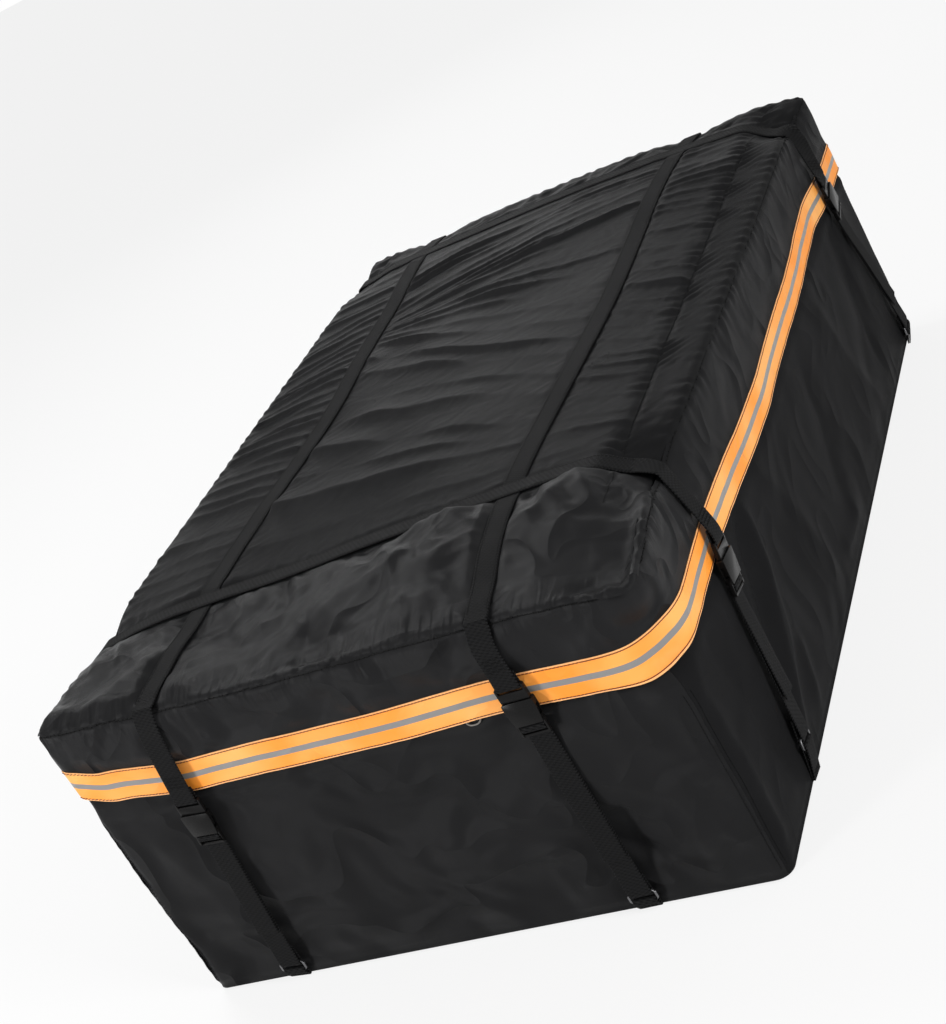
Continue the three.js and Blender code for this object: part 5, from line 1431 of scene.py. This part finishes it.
# A round tube along a path
def tubePiece(name, path, radius, sides, material):
    spots = np.asarray(path, float)
    along = np.gradient(spots, axis=0)
    along /= np.linalg.norm(along, axis=1, keepdims=True)
    across = np.cross(along, [0, -1.0, 0])
    across /= np.linalg.norm(across, axis=1, keepdims=True)
    up = np.cross(across, along)
    turns = np.linspace(0, 2 * math.pi, sides, endpoint=False)
    rings = [np.cos(turns)[:, None] * a + np.sin(turns)[:, None] * u for a, u in zip(across, up)]
    points = np.concatenate([p + radius * ring for p, ring in zip(spots, rings)])
    return facedOut(linkMesh(name, points, tubeFaces(len(spots), sides), None, material, sharp=60))


# For each slider: place and half width of the loop, and how far it shows below the flap
pullCord = {"a": (152, 10, 7), "b": (169, 5, -9), "radius": 1.0, "sides": 8, "step": 1.2}


def buildCord(letter, look):
    x, wide, shows = look[letter]
    arch = halfLong - bag["zipRecess"] + 6.55
    low = float(tableAt(bag["flapFoot"], x + halfWide)) - shows
    z = zipLook["line"]
    limit = 650 if shows > 0 else 646.4
    half = [
        (2.6, arch, z), (4.2, arch, z - 0.4), (wide * 0.8, arch - 0.1, z - 5), (wide, 645.8, z - 18),
        (wide, 646.8, low + 9), (wide * 0.98, 647.1, low + 5.5), (wide * 0.84, 648.4, low + 2.6),
        (wide * 0.5, 649.4, low + 0.5), (0, 649.6, low),
    ]
    half = [(dx, -min(out, limit), height) for dx, out, height in half]
    loop = [(x + dx, y, height) for dx, y, height in half] + [(x - dx, y, height) for dx, y, height in half[-2::-1]]
    path = smoothPath(loop, look["step"])
    piece = tubePiece("pullCord_" + letter, path, look["radius"], look["sides"], finish["cord"])
    onBag(piece, "cord", "pull_cord_" + letter, body="slider_" + letter)


buildCord("a", pullCord)
buildCord("b", pullCord)
print("stage: zip and cords made")


# Pitch, length and radius of each kind of stitch
stitch = {"band": (4.6, 3.6, 0.62), "gather": (5.0, 3.6, 0.36), "seam": (6.4, 5.2, 0.8), "corner": (5.0, 3.6, 0.34)}


# Stitches along the side of the bag, each aimed at the place a millimetre on
def sideStitches(q, z, off, ahead=(1, 0)):
    points, outs = placeAt(q, z, off)
    return points, placeAt(q + ahead[0], z + ahead[1], off)[0] - points, outs


def bandThread():
    pitch, *sizes = stitch["band"]
    q = np.arange(6, 2914, pitch)
    for name, part in (("bandThreadLow", 0.055), ("bandThreadHigh", 0.945)):
        z = bandPlace(q, part)
        off = flapOff(q, z) + skirt["bandStand"] + skirt["bandThick"] * 0.6 + 0.35
        onBag(rodRun(name, *sideStitches(q, z, off), *sizes, finish["redThread"], sides=5), "band_orange")


def gatherThread():
    pitch, *sizes = stitch["gather"]
    x = lid["gatherX"] - 0.2
    points, lies = [], []
    for y in np.arange(-500, 520, pitch):
        here, ahead = lidHeightAt(x, y), lidHeightAt(x, y + 2)
        points.append((x, y, here + 0.25))
        lies.append((0, 2, ahead - here))
    faces = [(0, 0, 1)] * len(points)
    onBag(rodRun("gatherThread", points, lies, faces, *sizes, finish["blackThread"], sides=5), "lid_fabric")


def seamThread():
    pitch, *sizes = stitch["seam"]
    q = np.arange(6, 4214, pitch)
    z = seamZ(q) - 6.8
    foot = tableAt(bag["flapFoot"], q)
    part = (z - foot) / (seamZ(q) - skirt["seamDrop"] - foot)
    off = np.where(q < 2917, flapOff(q, z) - flapTurn(part) + 0.45, 0.5)
    points, lies, outs = sideStitches(q, z, off)
    faces = outs + np.array([0, 0, 1.0])
    onBag(rodRun("topSeamThread", points, lies, faces, *sizes, finish["blackThread"], sides=5), "lid_fabric")


def cornerThread():
    pitch, *sizes = stitch["corner"]
    z = np.tile(np.arange(14, 262, pitch), 2)
    for start, name in zip(bag["sideStarts"], ("frontLeft", "frontRight", "rearRight", "rearLeft")):
        q = start + np.repeat([6.0, -6.0], len(z) // 2)
        rows = sideStitches(q, z, wallOff(np.mod(q, around), z) + 0.45, ahead=(0, 1))
        onBag(rodRun("cornerThread_" + name, *rows, *sizes, finish["blackThread"], sides=5), "shell_fabric")


bandThread()
gatherThread()
seamThread()
cornerThread()
print("stage: stitching made")

# Floor and light
studio = {
    "floor": (0.92, 0.92, 0.92),
    "floorSize": 30,
    "floorHeight": -0.0033,
    "floorGlow": 0.82,
    "ambient": 0.30,
    "aim": (0, 0, 0.25),
    "lamps": [
        ("key", (-2.1, -3.5, 1.7), 0.9, 42.0),
        ("low", (-2.4, -3.8, 0.6), 0.7, 56.0),
        ("fill", (3.4, -1.6, 1.8), 1.3, 88.0),
        ("top", (-1.5, 0.7, 2.6), 0.9, 35.0),
        ("back", (-1.6, 3.4, 1.75), 0.8, 11.0),
    ],
}


# What the camera sees straight, or in a reflection or through glass
def seenDirectly(tree):
    rays = tree.nodes.new("ShaderNodeLightPath").outputs
    seen = math2(tree, "MAXIMUM", rays["Is Camera Ray"], rays["Is Glossy Ray"])
    return math2(tree, "MAXIMUM", seen, rays["Is Transmission Ray"])


def buildFloor(look):
    bpy.ops.mesh.primitive_plane_add(size=look["floorSize"], location=(0, 0, look["floorHeight"]))
    floor = bpy.context.object
    floor.name = "floor"
    material, tree, shader = plainMaterial("paleFloor", look["floor"], 0.9)
    glow = addNode(tree, "ShaderNodeEmission", {"Color": (1, 1, 1, 1)})
    share = math2(tree, "MULTIPLY", seenDirectly(tree), look["floorGlow"])
    mix = addNode(tree, "ShaderNodeMixShader", {0: share, 1: shader.outputs[0], 2: glow.outputs[0]})
    tree.links.new(mix.outputs[0], tree.nodes["Material Output"].inputs[0])
    floor.data.materials.append(material)


def buildLight(look):
    world = bpy.data.worlds.new("studio")
    bpy.context.scene.world = world
    world.use_nodes = True
    back = world.node_tree.nodes["Background"]
    back.inputs[0].default_value = (1, 1, 1, 1)
    strength = rampValue(world.node_tree, seenDirectly(world.node_tree), look["ambient"], 1.0)
    world.node_tree.links.new(strength, back.inputs[1])
    for name, spot, size, power in look["lamps"]:
        data = bpy.data.lights.new(name, "AREA")
        data.shape = "SQUARE"
        data.size = size
        data.energy = power
        lamp = linked(name, data)
        lamp.location = spot
        lamp.rotation_euler = (Vector(look["aim"]) - Vector(spot)).to_track_quat("-Z", "Y").to_euler()


buildFloor(studio)
buildLight(studio)
bpy.context.scene.view_settings.view_transform = "Standard"
print("stage: studio made")
